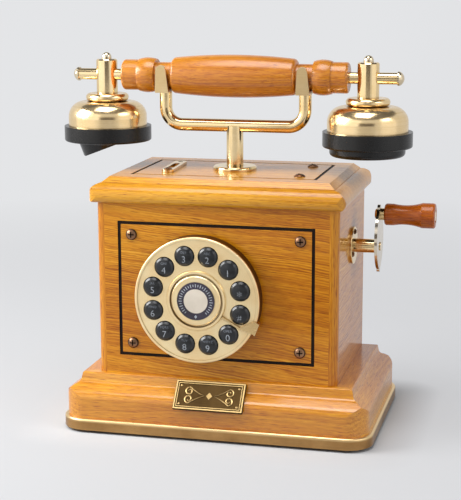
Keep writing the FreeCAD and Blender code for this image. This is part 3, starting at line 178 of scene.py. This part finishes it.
# Wood: how often each pattern changes along and across the grain, per metre
WANDER = (6.0, 12.0)
RIPPLE = (30.0, 140.0)
JITTER = (16.0, 260.0)
CLARITY = (9.0, 45.0)
CLOUDS = (4.5, 16.0)
FIBRES = (70.0, 1500.0)
FLECKS = (130.0, 900.0)
PORES = (110.0, 2300.0)
# How far the rings ripple, in metres, how far they jitter and how wide a band is, in rings
RIPPLE_HEIGHT = 0.0040
JITTER_RINGS = 1.6
BAND_RINGS = 4.7
# What each pattern adds to the shade
BAND_SHARE = 0.10
LINE_SHARE = 0.20
FLECK_SHARE = 0.30
FIBRE_SHARE = 0.34
CLOUD_SHARE = 0.62
PORE_TONE = (186, 152, 112)
TONE_FIRST = 0.22
TONE_SPAN = 0.56


def tones(*colours):
    """Ramp stops from dark to light."""
    return [(TONE_FIRST + TONE_SPAN * i / (len(colours) - 1), c) for i, c in enumerate(colours)]


def wood(name, axis, colours, shift=(0.0, 0.0, 0.0), ring=0.0019, pith=(-0.30, 0.05), wave=0.010,
         figure=1.0, slope=0.0, coat=0.9, gloss=1.5, satin=0.10):
    """Lacquered wood. The growth rings run along one axis, and fibres and pores follow them."""
    g = Graph(name, Coat_Weight=coat, Coat_Roughness=satin, Coat_IOR=gloss, Specular_IOR_Level=0.12)
    x, y, z = g.split(g.place)
    if axis == "mitre":
        over_x = g.minus(g.math("ABSOLUTE", x), PLINTH_TOP[0] * MM)
        over_y = g.minus(g.math("ABSOLUTE", y), PLINTH_TOP[1] * MM)
        side = g.math("GREATER_THAN", over_x, over_y)
        along, up, deep = g.choose(side, x, y), z, g.choose(side, y, x)
    else:
        along, up, deep = {"x": (x, z, y), "y": (y, z, x), "z": (z, x, y)}[axis]
    up = g.math("MULTIPLY_ADD", along, slope, up)
    grain = g.join(along, up, deep)

    def pattern(scale, detail=2.0, rough=0.5):
        long, cross = scale
        return g.noise(g.scaled(grain, (long, cross, cross), shift), 1.0, detail, rough)

    def part(share, factor, rest):
        return g.math("MULTIPLY_ADD", g.minus(factor, 0.5), share, rest)

    height = part(wave, pattern(WANDER, 1.0), part(RIPPLE_HEIGHT, pattern(RIPPLE), up))
    reach = g.radius(g.minus(height, pith[0]), g.minus(deep, pith[1]))
    turn = g.math("MULTIPLY", part(ring * JITTER_RINGS, pattern(JITTER), reach), 2 * math.pi / ring)
    lines = g.math("MULTIPLY_ADD", g.math("SINE", turn), 0.5, 0.5)
    bands = g.math("FRACT", g.math("DIVIDE", reach, ring * BAND_RINGS))
    clear = g.spread(pattern(CLARITY), 0.38, 0.66, 0.1, 1.0)
    fibre = pattern(FIBRES, 3.0, 0.65)
    fleck = pattern(FLECKS, 2.0, 0.6)
    pores = g.spread(pattern(PORES, 1.0), 0.27, 0.40)
    shade = part(BAND_SHARE * figure, bands, 0.5)
    shade = g.math("ADD", shade, g.math("MULTIPLY", part(LINE_SHARE * figure, lines, 0.0), clear))
    shade = part(CLOUD_SHARE, pattern(CLOUDS, 3.0), shade)
    shade = part(FLECK_SHARE, fleck, part(FIBRE_SHARE, fibre, shade))
    colour = g.ramp(shade, tones(*colours))
    dark = g.mix(1.0, colour, linear(*PORE_TONE), "MULTIPLY")
    g.set(Base_Color=g.mix(pores, dark, colour))
    g.set(Roughness=g.spread(fibre, 0.3, 0.7, 0.46, 0.34))
    g.set(Normal=g.bump(g.math("ADD", fibre, pores), 0.1, 0.0001))
    return g


# Metal: clouds and brushed lines per metre, how little the lines change along X, and the colour laid in its
# crevices, partly patina and partly painted shade
METAL_CLOUDS = 42.0
BRUSH_LINES = 2600.0
BRUSH_DRIFT = 0.02
PATINA_AND_SHADE = (84, 58, 34)


def metal(name, dark, light, rough, spun=None, brush=0.25, patina_and_shade=0.5, crevice=0.003):
    """Brass, bronze or steel, darkened by ambient occlusion in its crevices and beside other parts: partly
    patina, partly painted shade. Spun metal has fine turning lines about its axis.
    """
    g = Graph(name, Metallic=1.0)
    cloud = g.noise(g.place, METAL_CLOUDS, 4.0, 0.6)
    x, y, z = g.split(g.place)
    if spun == "dial":
        along = g.radius(g.minus(x, DIAL[0] * MM), g.minus(z, DIAL[1] * MM))
    elif spun == "capsules":
        out = g.minus(g.math("ABSOLUTE", x), CAPSULE_X * MM)
        along = g.math("ADD", g.radius(out, g.minus(y, BOX_MID_Y * MM)), z)
    else:
        along = g.math("ADD", g.math("MULTIPLY", x, BRUSH_DRIFT), g.math("ADD", y, z))
    lines = g.noise_line(along, BRUSH_LINES)
    shade = g.math("MULTIPLY_ADD", lines, brush, g.math("MULTIPLY", cloud, 1.0 - brush))
    colour = g.ramp(shade, [(0.3, dark), (0.62, light)])
    # Painted shade and patina: occluded crevices, hollows and gaps beside other parts turn dark brown
    occlusion = g.node("ShaderNodeAmbientOcclusion", {"Distance": crevice}, samples=8).outputs["AO"]
    occluded = g.spread(occlusion, 0.35, 0.85, 1.0, 0.0)
    patina_and_shade_mask = g.math("MULTIPLY", occluded, g.spread(cloud, 0.3, 0.6, patina_and_shade, patina_and_shade * 0.7))
    patina_and_shade_colour = g.mix(1.0, colour, linear(*PATINA_AND_SHADE), "MULTIPLY")
    g.set(Base_Color=g.mix(patina_and_shade_mask, colour, patina_and_shade_colour))
    g.set(Roughness=g.spread(shade, 0.3, 0.7, rough * 1.2, rough * 0.85))
    g.set(Normal=g.bump(lines, 0.05, 0.00006))
    return g


PLASTIC_CLOUDS = 60.0


def moulded(name, dark, light, rough, grain=1400.0, depth=0.06, **constants):
    """Moulded plastic, rubber or print with a fine uneven skin."""
    g = Graph(name, **constants)
    cloud = g.noise(g.place, PLASTIC_CLOUDS, 3.0, 0.6)
    skin = g.noise(g.place, grain)
    g.set(Base_Color=g.ramp(cloud, [(0.35, dark), (0.65, light)]))
    g.set(Roughness=g.spread(g.math("ADD", cloud, skin), 0.7, 1.3, rough * 0.85, rough * 1.15))
    g.set(Normal=g.bump(skin, depth, 0.0001))
    return g


def trim_finish():
    """Antique brass band, with a painted highlight along its rounded top edge."""
    g = metal("antique_trim", (146, 108, 64), (184, 144, 92), 0.30)
    height = g.split(g.place)[2]
    # Painted highlight: a pale band along the rounded top edge
    g.tint(g.between(height, TRIM_HIGHLIGHT_Z), (236, 204, 148))
    return g


def dial_finish():
    """Satin brass, spun about the dial's centre, with painted shade on the skirt behind its face."""
    g = metal("brass_satin", (236, 200, 142), (255, 236, 190), 0.40, "dial", 0.4, 0.6)
    depth = g.split(g.place)[1]
    # Painted shade: the skirt's side wall darkened to brown
    g.tint(g.between(depth, DIAL_SHADED_SKIRT_Y), (96, 66, 36))
    return g


def nameplate_finish():
    """Dark antique plate whose raised lines and pins are rubbed bright."""
    g = metal("antique_plate", (54, 40, 22), (84, 64, 36), 0.42, patina_and_shade=0.8, crevice=0.0012)
    lean = math.radians(90.0 - PLATE_TILT)
    y, z = g.split(g.place)[1:]
    out_y = g.math("MULTIPLY", g.minus(y, PLATE_CENTRE[1] * MM), -math.sin(lean))
    out_z = g.math("MULTIPLY", g.minus(z, PLATE_CENTRE[2] * MM), math.cos(lean))
    proud = g.math("ADD", out_y, out_z)
    g.tint(g.between(proud, [PLATE_THICK + rise for rise in PLATE_RUBBED]), (198, 168, 114))
    return g


def screw_finish():
    """Bronze heads, with painted shade on those of the front: dark at the edge and black in the driver
    recess.
    """
    g = metal("dark_bronze", (112, 80, 60), (168, 130, 100), 0.3, patina_and_shade=1.0, crevice=0.0016)
    x, y, z = g.split(g.place)
    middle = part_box("plinth")[1][2] + FRONT_SCREW_MID * MM
    across = g.minus(g.math("ABSOLUTE", x), FRONT_SCREW_X * MM)
    rise = g.math("ABSOLUTE", g.minus(z, middle))
    out = g.radius(across, g.minus(rise, FRONT_SCREW_HALF * MM))
    front = g.math("LESS_THAN", y, FRONT_LIMIT_Y * MM)
    # Painted shade: a dark ring round the edge of each front head, and black in its driver recess
    edge = g.math("MULTIPLY", front, g.between(out, FRONT_SCREW_SHADE_EDGE))
    inside = g.math("LESS_THAN", out, FRONT_RECESS_RADIUS * MM)
    recess_shade = g.math("MULTIPLY", front, g.math("MULTIPLY", inside, g.between(y, FRONT_RECESS_Y)))
    g.tint(g.math("MAXIMUM", edge, recess_shade), (34, 22, 16))
    return g


OAK = ((152, 79, 2), (187, 112, 8), (209, 139, 19), (225, 166, 44))
# Painted light: the lid's oak is a lighter copy of the oak, for more light on the top of the box
OAK_LIT_LID = ((166, 98, 6), (194, 127, 15), (212, 150, 30), (226, 174, 60))
OAK_HANDLE = ((152, 78, 3), (184, 106, 8), (206, 132, 19), (222, 158, 44))
RED_WOOD = ((136, 56, 0), (168, 80, 5), (190, 102, 11), (210, 130, 28))

# The finish of each material slot, and of the nodes that have one of their own
finishes = {
    "oak_handle": wood(
        "oak_turned", "x", OAK_HANDLE, (0.3, 2.0, 1.0), pith=(0.26, -0.02), figure=0.9, gloss=1.65, satin=0.26
    ),
    "red_wood": wood(
        "red_turned", "x", RED_WOOD, (0.0, 5.0, 2.0), ring=0.0020, pith=(0.12, 0.02), wave=0.004, figure=0.7,
        coat=0.6, satin=0.2
    ),
    "polished_brass": metal("brass_polished", (228, 194, 132), (248, 222, 174), 0.14),
    "satin_brass": dial_finish(),
    "trim_metal": trim_finish(),
    "nameplate_metal": nameplate_finish(),
    "arm_steel": metal("nickel", (200, 186, 164), (226, 214, 194), 0.14),
    "bronze_screw": screw_finish(),
    "steel": metal("zinc_steel", (150, 150, 152), (182, 182, 184), 0.3),
    "plate_metal": moulded("powder_coat", (22, 22, 22), (34, 34, 34), 0.55, 700.0, 0.2),
    "black_cap": moulded(
        "cap_plastic", (11, 10, 9), (19, 17, 15), 0.28, Coat_Weight=0.1, Coat_Roughness=0.14,
        Specular_IOR_Level=0.35
    ),
    "black_button": moulded(
        "button_plastic", (12, 14, 16), (20, 22, 26), 0.3, Coat_Weight=0.15, Coat_Roughness=0.14
    ),
    "black_inlay": moulded(
        "inlay_black", (15, 9, 4), (30, 18, 9), 0.6, 900.0, 0.2, Specular_IOR_Level=0.15
    ),
    "label_black": moulded("label_black_print", (40, 34, 46), (56, 50, 66), 0.42),
    "label_cream": moulded("label_cream_print", (208, 197, 180), (222, 211, 195), 0.36),
    "rubber": moulded("rubber_black", (24, 24, 24), (36, 36, 36), 0.75, 500.0, 0.3),
    "board": moulded("board_green", (24, 70, 38), (40, 100, 54), 0.4, 300.0, 0.2),
    "black_plastic": moulded("plastic_black", (26, 26, 26), (40, 40, 40), 0.45, 800.0, 0.15),
}
special = {
    "front_panel": wood(
        "oak_front", "x", OAK, ring=0.0017, pith=(-0.22, 0.03), wave=0.016, figure=1.7, slope=0.10, coat=0.55
    ),
    "back_panel": wood(
        "oak_back", "x", OAK, (2.0, 7.0, 1.0), ring=0.0020, pith=(-0.20, -0.03), wave=0.016, figure=1.2
    ),
    "left_side": wood("oak_left", "y", OAK, (3.0, 1.0, 4.0), ring=0.0018, coat=0.6),
    "right_side": wood("oak_right", "y", OAK, (5.0, 2.0, 8.0), ring=0.0018, pith=(-0.30, -0.05), coat=0.6),
    "corner_beads": wood(
        "oak_beads", "z", OAK, (1.0, 3.0, 6.0), ring=0.0018, pith=(0.30, 0.10), wave=0.008, figure=0.6,
        coat=0.7, satin=0.16
    ),
    "lid": wood(
        "oak_lid", "x", OAK_LIT_LID, (6.0, 4.0, 2.0), ring=0.0024, pith=(0.10, -0.25), wave=0.012, figure=0.8,
        coat=0.7, gloss=1.6, satin=0.18
    ),
    "plinth": wood(
        "oak_plinth", "mitre", OAK, (1.5, 6.0, 3.0), ring=0.0030, pith=(-0.24, 0.10), wave=0.022, figure=0.9,
        coat=0.75, gloss=1.8, satin=0.20
    ),
    "handset_bells": metal("brass_spun", (230, 196, 136), (248, 222, 176), 0.2, "capsules", 0.5),
    "cradle_saddles": metal("brass_saddle", (222, 188, 130), (244, 216, 164), 0.32),
    "finger_stop": metal("brass_stop", (226, 190, 128), (248, 220, 168), 0.24),
    "dome_nuts": metal("brass_nickelled", (206, 186, 150), (232, 216, 186), 0.2),
}
for name, node in nodes.items():
    slot = node.data.materials[0].name.split(".")[0]
    finish = special.get(name) or finishes[slot]
    node.data.materials[0] = finish.material


def piece(name, shape, finish, body):
    """A new piece of the telephone, from a finished bmesh, that rides on a body."""
    bmesh.ops.recalc_face_normals(shape, faces=shape.faces)
    mesh = bpy.data.meshes.new(name)
    shape.to_mesh(mesh)
    shape.free()
    made = bpy.data.objects.new(name, mesh)
    scene.collection.objects.link(made)
    mesh.materials.append(finish.material)
    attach(made, body)


# Marks on the buttons, in millimetres: size and height above the button's middle
MARKS = {
    "star": ("*", ""), "1": ("1", ""), "2": ("2", "ABC"), "3": ("3", "DEF"), "4": ("4", "GHI"),
    "5": ("5", "JKL"), "6": ("6", "MNO"), "7": ("7", "PQRS"), "8": ("8", "TUV"), "9": ("9", "WXYZ"),
    "0": ("0", "OPER"), "hash": ("#", ""),
}
DIGIT_PLACE = (6.5, -1.9)
SIGN_PLACES = {"star": (9.0, -1.6), "hash": (5.4, -1.9)}
SMALL_PLACE = (2.3, 2.7)
SMALL_SPACING = 1.1
LETTER_THINNING = 0.012
MARK_RAISE = 0.09
MARK_SINK = 0.2
MARK_EDGE = 0.7
WELD = 0.002
REFINE_PASSES = 4
print_pale = moulded("print_pale", (144, 150, 158), (172, 178, 186), 0.4)
print_faint = moulded("print_faint", (104, 110, 120), (132, 138, 148), 0.4)


def letters(shape, text, size, centre, spacing):
    """Adds flat solid characters, centred on a point of the XY plane, from z = -1 to z = 1."""
    curve = bpy.data.curves.new("characters", "FONT")
    curve.body = text
    curve.size = size
    curve.align_x = "CENTER"
    curve.align_y = "CENTER"
    curve.space_character = spacing
    curve.extrude = 1.0
    curve.offset = -LETTER_THINNING * size
    curve.resolution_u = 5
    holder = bpy.data.objects.new("characters", curve)
    scene.collection.objects.link(holder)
    mesh = bpy.data.meshes.new_from_object(holder.evaluated_get(bpy.context.evaluated_depsgraph_get()))
    xs = [v.co.x for v in mesh.vertices]
    ys = [v.co.y for v in mesh.vertices]
    middle = Vector(((min(xs) + max(xs)) / 2, (min(ys) + max(ys)) / 2, 0.0))
    mesh.transform(Matrix.Translation(Vector((*centre, 0.0)) - middle))
    shape.from_mesh(mesh)
    bpy.data.objects.remove(holder)
    bpy.data.curves.remove(curve)
    bpy.data.meshes.remove(mesh)


def refine(shape):
    """Welds the characters and cuts their long edges, so that they can follow a curved face."""
    bmesh.ops.remove_doubles(shape, verts=shape.verts, dist=WELD)
    bmesh.ops.triangulate(shape, faces=shape.faces)
    for _ in range(REFINE_PASSES):
        edges = [e for e in shape.edges if e.calc_length() > MARK_EDGE]
        if not edges:
            break
        bmesh.ops.subdivide_edges(shape, edges=edges, cuts=1)
        bmesh.ops.triangulate(shape, faces=shape.faces)


def button_mark(index, name, text, place, kind, finish, spacing=1.0):
    """Characters printed on a button's crown: upright, whatever the button's place on the ring."""
    size, lift = place
    angle = math.radians(BUTTON_FIRST + BUTTON_STEP * index)
    x0 = DIAL[0] + BUTTON_RING * math.cos(angle)
    z0 = DIAL[1] + BUTTON_RING * math.sin(angle)
    shape = bmesh.new()
    letters(shape, text, size, (0.0, lift), spacing)
    refine(shape)
    for vertex in shape.verts:
        dx, dz, level = vertex.co
        crown = CROWN_CENTRE_Y - math.sqrt(CROWN_RADIUS**2 - dx * dx - dz * dz)
        rise = MARK_RAISE if level > 0 else -MARK_SINK
        vertex.co = Vector((x0 + dx, crown - rise, z0 + dz)) * MM
    piece(f"{kind}_{name}", shape, finish, f"button_{name}")


for index, (name, (digit, small)) in enumerate(MARKS.items()):
    button_mark(index, name, digit, SIGN_PLACES.get(name, DIGIT_PLACE), "digit", print_pale)
    if small:
        button_mark(index, name, small, SMALL_PLACE, "small", print_faint, SMALL_SPACING)


def prism(shape, outline, levels, place):
    """A flat prism: its outline is in a plane, and place turns (across, up, out) into the shared frame."""
    rings = [[shape.verts.new(place(a, b, level)) for a, b in outline] for level in levels]
    shape.faces.new(rings[0])
    shape.faces.new(rings[1])
    for i in range(len(outline)):
        j = (i + 1) % len(outline)
        shape.faces.new((rings[0][i], rings[0][j], rings[1][j], rings[1][i]))


# Ornament of the label ring: angles in degrees, radii and heights in millimetres
TICK_COUNT = 31
TICK_ANGLES = (-48.0, 228.0)
TICK_HALF_ANGLE = 1.5
TICK_RADII = ((10.1, 11.6), (9.7, 12.0))
TICK_LEVELS = (-0.15, 0.08)
LABEL_LOZENGE = ((0.0, -9.5), (1.05, -10.8), (0.0, -12.1), (-1.05, -10.8))
LABEL_LOZENGE_LEVELS = (-0.15, 0.1)


def on_label(across, up, out):
    return Vector((DIAL[0] + across, LABEL_FACE_Y - out, DIAL[1] + up)) * MM


def label_ornament():
    """A ring of short plain ticks and one lozenge on the black label ring."""
    shape = bmesh.new()
    first, last = TICK_ANGLES
    half = math.radians(TICK_HALF_ANGLE)
    for i in range(TICK_COUNT):
        angle = math.radians(first + (last - first) * i / (TICK_COUNT - 1))
        inner, outer = TICK_RADII[i % 2]
        corners = ((inner, -half), (outer, -half), (outer, half), (inner, half))
        outline = [(r * math.cos(angle + t), r * math.sin(angle + t)) for r, t in corners]
        prism(shape, outline, TICK_LEVELS, on_label)
    prism(shape, LABEL_LOZENGE, LABEL_LOZENGE_LEVELS, on_label)
    piece("label_ticks", shape, print_pale, "case")


label_ornament()

# Ornament of the nameplate, in millimetres
PLATE_LOZENGE = ((0.0, -2.6), (2.2, 0.0), (0.0, 2.6), (-2.2, 0.0))
PLATE_LOZENGE_LEVELS = (-0.2, 0.35)
SCROLL_CENTRE = (14.2, 2.9)
SCROLL_RADIUS = 3.1
SCROLL_TURNS = 1.25
SCROLL_STEPS = 40
TAIL_END = (3.4, 0.25)
TAIL_BEND = 1.4
TAIL_STEPS = 14
RIBBON_WIDTH = 1.25
RIBBON_LEVELS = (-0.2, 0.45)


def on_plate(across, up, out):
    tilt = math.radians(PLATE_TILT)
    normal = Vector((0.0, -math.cos(tilt), math.sin(tilt)))
    rise = Vector((0.0, math.sin(tilt), math.cos(tilt)))
    return (Vector(PLATE_CENTRE) + Vector((across, 0, 0)) + rise * up + normal * (PLATE_THICK + out)) * MM


def ribbon(shape, path, place):
    """A raised line with a ridge, tapered at both ends, along a path of points in a plane."""
    low, high = RIBBON_LEVELS
    sections = []
    for i, (a, b) in enumerate(path):
        before, after = path[max(i - 1, 0)], path[min(i + 1, len(path) - 1)]
        side = Vector((before[1] - after[1], after[0] - before[0])).normalized()
        share = i / (len(path) - 1)
        half = RIBBON_WIDTH / 2 * (0.25 + 0.75 * math.sin(math.pi * share) ** 0.6)
        ends = ((-half, low), (-half * 0.8, high * 0.6), (0.0, high), (half * 0.8, high * 0.6), (half, low))
        sections.append([shape.verts.new(place(a + side.x * s, b + side.y * s, out)) for s, out in ends])
    for one, two in zip(sections, sections[1:]):
        for k in range(len(one)):
            m = (k + 1) % len(one)
            shape.faces.new((one[k], one[m], two[m], two[k]))
    shape.faces.new(sections[0])
    shape.faces.new(sections[-1])


def scroll(side, lift):
    """Points of a spiral that opens into a gentle arc towards the plate's middle."""
    points = []
    for i in range(SCROLL_STEPS + 1):
        share = i / SCROLL_STEPS
        angle = SCROLL_TURNS * 2 * math.pi * share
        reach = SCROLL_RADIUS * (0.25 + 0.75 * share)
        across = side * (SCROLL_CENTRE[0] + reach * math.cos(angle))
        points.append((across, lift * SCROLL_CENTRE[1] + lift * reach * math.sin(angle)))
    start = points[-1]
    for i in range(1, TAIL_STEPS + 1):
        share = i / TAIL_STEPS
        across = start[0] + (side * TAIL_END[0] - start[0]) * share
        points.append((across, start[1] * (1 - share) ** TAIL_BEND + lift * TAIL_END[1] * share))
    return points


def plate_ornament():
    """A plain traditional flourish on the nameplate: a lozenge between two pairs of scrolls."""
    shape = bmesh.new()
    prism(shape, PLATE_LOZENGE, PLATE_LOZENGE_LEVELS, on_plate)
    for side in (-1, 1):
        for lift in (-1, 1):
            ribbon(shape, scroll(side, lift), on_plate)
    piece("plate_flourish", shape, finishes["nameplate_metal"], "case")


plate_ornament()

# Stage, in metres and degrees: a pale sweep, soft lamps, and cards that only reflections see
# Glow of the sweep, painted lighter on the left than on the right
GLOW_LIT_LEFT = linear(228, 229, 231)
GLOW_SHADED_RIGHT = linear(221, 222, 225)
STAGE_HALF = 0.45
FLOOR_RADII = (0.4, 1.0, 2.0, 3.0)
FLOOR_SIDES = 64
BEND_RADIUS = 1.5
BEND_STEPS = 16
WALL_TOP = 4.0
GLOW_RADII = (0.30, 1.0)
GLOW_SHARES = (0.6, 1.0)
FOOT_SHADE = (0.001, 0.035)
CARD_STEPS = 24
CARD_UNSEEN_BY = ("camera", "diffuse", "transmission", "volume_scatter", "shadow")
LAMP_AIM = Vector((0.0, 0.0, 0.13))


def staged(name, shape, finish, unseen_by=()):
    """A mesh of the stage, which is no part of the telephone."""
    mesh = bpy.data.meshes.new(name)
    shape.to_mesh(mesh)
    shape.free()
    made = bpy.data.objects.new(name, mesh)
    scene.collection.objects.link(made)
    mesh.materials.append(finish.material)
    for way in unseen_by:
        setattr(made, f"visible_{way}", False)


def floor_finish():
    """Pale, with a painted fall of light from left to right in its glow, and the telephone's own shade kept
    round its foot.
    """
    g = Graph("pale_floor", Roughness=0.6, Specular_IOR_Level=0.2)
    cloud = g.noise(g.place, 3.0)
    g.set(Base_Color=g.ramp(cloud, [(0.3, (195, 196, 198)), (0.7, (197, 198, 200))]))
    x, y = g.split(g.place)[:2]
    # Painted light: the glow runs from lighter on the left to darker on the right
    tone = g.mix(g.spread(x, -STAGE_HALF, STAGE_HALF), GLOW_LIT_LEFT, GLOW_SHADED_RIGHT)
    far = g.spread(g.radius(x, y), *GLOW_RADII, *GLOW_SHARES)
    beside = g.math("MAXIMUM", g.minus(g.math("ABSOLUTE", x), FOOT[0] * MM), 0.0)
    before = g.math("MAXIMUM", g.minus(g.math("ABSOLUTE", y), FOOT[1] * MM), 0.0)
    far = g.math("MULTIPLY", far, g.spread(g.radius(beside, before), *FOOT_SHADE))
    path = g.node("ShaderNodeLightPath").outputs
    seen = g.math("MAXIMUM", path["Is Camera Ray"], path["Is Glossy Ray"])
    seen = g.math("MAXIMUM", seen, path["Is Transmission Ray"])
    glow = g.node("ShaderNodeEmission", {"Color": tone, "Strength": 1.0}).outputs[0]
    inputs = {0: g.math("MULTIPLY", far, seen), 1: g.shader.outputs[0], 2: glow}
    g.feed(g.output.inputs["Surface"], g.node("ShaderNodeMixShader", inputs).outputs[0])
    return g


def sweep():
    """A round floor that curves up into a backdrop on every side."""
    edge = FLOOR_RADII[-1]
    profile = [(r, 0.0) for r in FLOOR_RADII]
    for i in range(1, BEND_STEPS + 1):
        angle = math.radians(90 * i / BEND_STEPS)
        profile.append((edge + BEND_RADIUS * math.sin(angle), BEND_RADIUS - BEND_RADIUS * math.cos(angle)))
    profile.append((edge + BEND_RADIUS, WALL_TOP))
    shape = bmesh.new()
    turns = [2 * math.pi * k / FLOOR_SIDES for k in range(FLOOR_SIDES)]
    rows = [[shape.verts.new((r * math.cos(t), r * math.sin(t), z)) for t in turns] for r, z in profile]
    shape.faces.new(rows[0])
    for one, two in zip(rows, rows[1:]):
        for k in range(FLOOR_SIDES):
            m = (k + 1) % FLOOR_SIDES
            shape.faces.new((one[k], two[k], two[m], one[m]))
    for face in shape.faces:
        face.smooth = True
    staged("floor", shape, floor_finish())


def reflector(name, azimuths, line, finish):
    """A curved card round the telephone, seen only in reflections. Its line holds radius and height."""
    shape = bmesh.new()
    rows = []
    for i in range(CARD_STEPS + 1):
        angle = math.radians(azimuths[0] + (azimuths[1] - azimuths[0]) * i / CARD_STEPS)
        rows.append([shape.verts.new((r * math.sin(angle), -r * math.cos(angle), z)) for r, z in line])
    for one, two in zip(rows, rows[1:]):
        for k in range(len(one) - 1):
            shape.faces.new((one[k], two[k], two[k + 1], one[k + 1]))
    staged(name, shape, finish, CARD_UNSEEN_BY)


def glowing(name, strength):
    """A white card that glows a little unevenly."""
    g = Graph(name)
    cloud = g.noise(g.place, 3.0)
    tone = g.ramp(cloud, [(0.3, (250, 250, 250)), (0.7, (255, 255, 255))])
    glow = g.node("ShaderNodeEmission", {"Color": tone, "Strength": strength}).outputs[0]
    g.feed(g.output.inputs["Surface"], glow)
    return g


def softbox(name, azimuth, elevation, distance, size, radiance):
    """A rectangular lamp aimed at the telephone. Azimuth 0 is in front, and positive to its right."""
    turn, lift = math.radians(azimuth), math.radians(elevation)
    away = Vector((math.cos(lift) * math.sin(turn), -math.cos(lift) * math.cos(turn), math.sin(lift)))
    data = bpy.data.lights.new(name, "AREA")
    data.shape = "RECTANGLE"
    data.size, data.size_y = size
    data.energy = math.pi * size[0] * size[1] * radiance
    made = bpy.data.objects.new(name, data)
    scene.collection.objects.link(made)
    made.location = LAMP_AIM + away * distance
    made.rotation_euler = (-away).to_track_quat("-Z", "Y").to_euler()


sweep()
card_dark = moulded("card_dark", (108, 102, 96), (116, 110, 104), 0.9, 40.0)
reflector("floor_card", (-16.0, 34.0), ((0.34, 0.002), (0.66, 0.002)), card_dark)
reflector("dark_card", (-11.0, 34.0), ((0.85, 0.16), (0.85, 0.42)), card_dark)
reflector("left_card", (-85.0, -22.0), ((1.3, 0.03), (1.3, 0.9)), glowing("card_left", 1.25))
reflector("right_card", (48.0, 95.0), ((1.3, 0.03), (1.3, 0.8)), glowing("card_right", 1.0))
softbox("key", azimuth=-68.0, elevation=28.0, distance=0.75, size=(0.42, 0.42), radiance=12.5)
softbox("wall", azimuth=-36.0, elevation=14.0, distance=2.4, size=(2.4, 2.0), radiance=0.55)
softbox("top", azimuth=-10.0, elevation=76.0, distance=2.1, size=(1.2, 1.3), radiance=5.6)
softbox("fill", azimuth=70.0, elevation=22.0, distance=2.6, size=(1.2, 1.8), radiance=3.8)

WORLD_COLOUR = (0.14, 0.14, 0.143, 1.0)
world = bpy.data.worlds.new("studio")
scene.world = world
world.use_nodes = True
world.node_tree.nodes["Background"].inputs["Color"].default_value = WORLD_COLOUR
world.node_tree.nodes["Background"].inputs["Strength"].default_value = 1.0

# Camera at the photograph's viewing angle
CAMERA_PLACE = Vector((0.2396, -0.9695, 0.3234))
CAMERA_AIM = Vector((-0.0046, 0.0054, 0.1193))
CAMERA_ROLL = math.radians(-0.21)
CAMERA_LENS = 101.93
CAMERA_SENSOR = 36.0
CAMERA_NEAR = 0.01
camera_data = bpy.data.cameras.new("camera")
camera_data.lens = CAMERA_LENS
camera_data.sensor_fit = "VERTICAL"
camera_data.sensor_height = CAMERA_SENSOR
camera_data.clip_start = CAMERA_NEAR
camera = bpy.data.objects.new("camera", camera_data)
scene.collection.objects.link(camera)
ahead = (CAMERA_AIM - CAMERA_PLACE).normalized()
right = ahead.cross(Vector((0, 0, 1))).normalized()
up = right.cross(ahead)
turned_right = right * math.cos(CAMERA_ROLL) + up * math.sin(CAMERA_ROLL)
turned_up = turned_right.cross(ahead)
turn = Matrix((turned_right, turned_up, -ahead)).transposed().to_4x4()
camera.matrix_world = Matrix.Translation(CAMERA_PLACE) @ turn
scene.camera = camera
scene.view_settings.view_transform = "Standard"
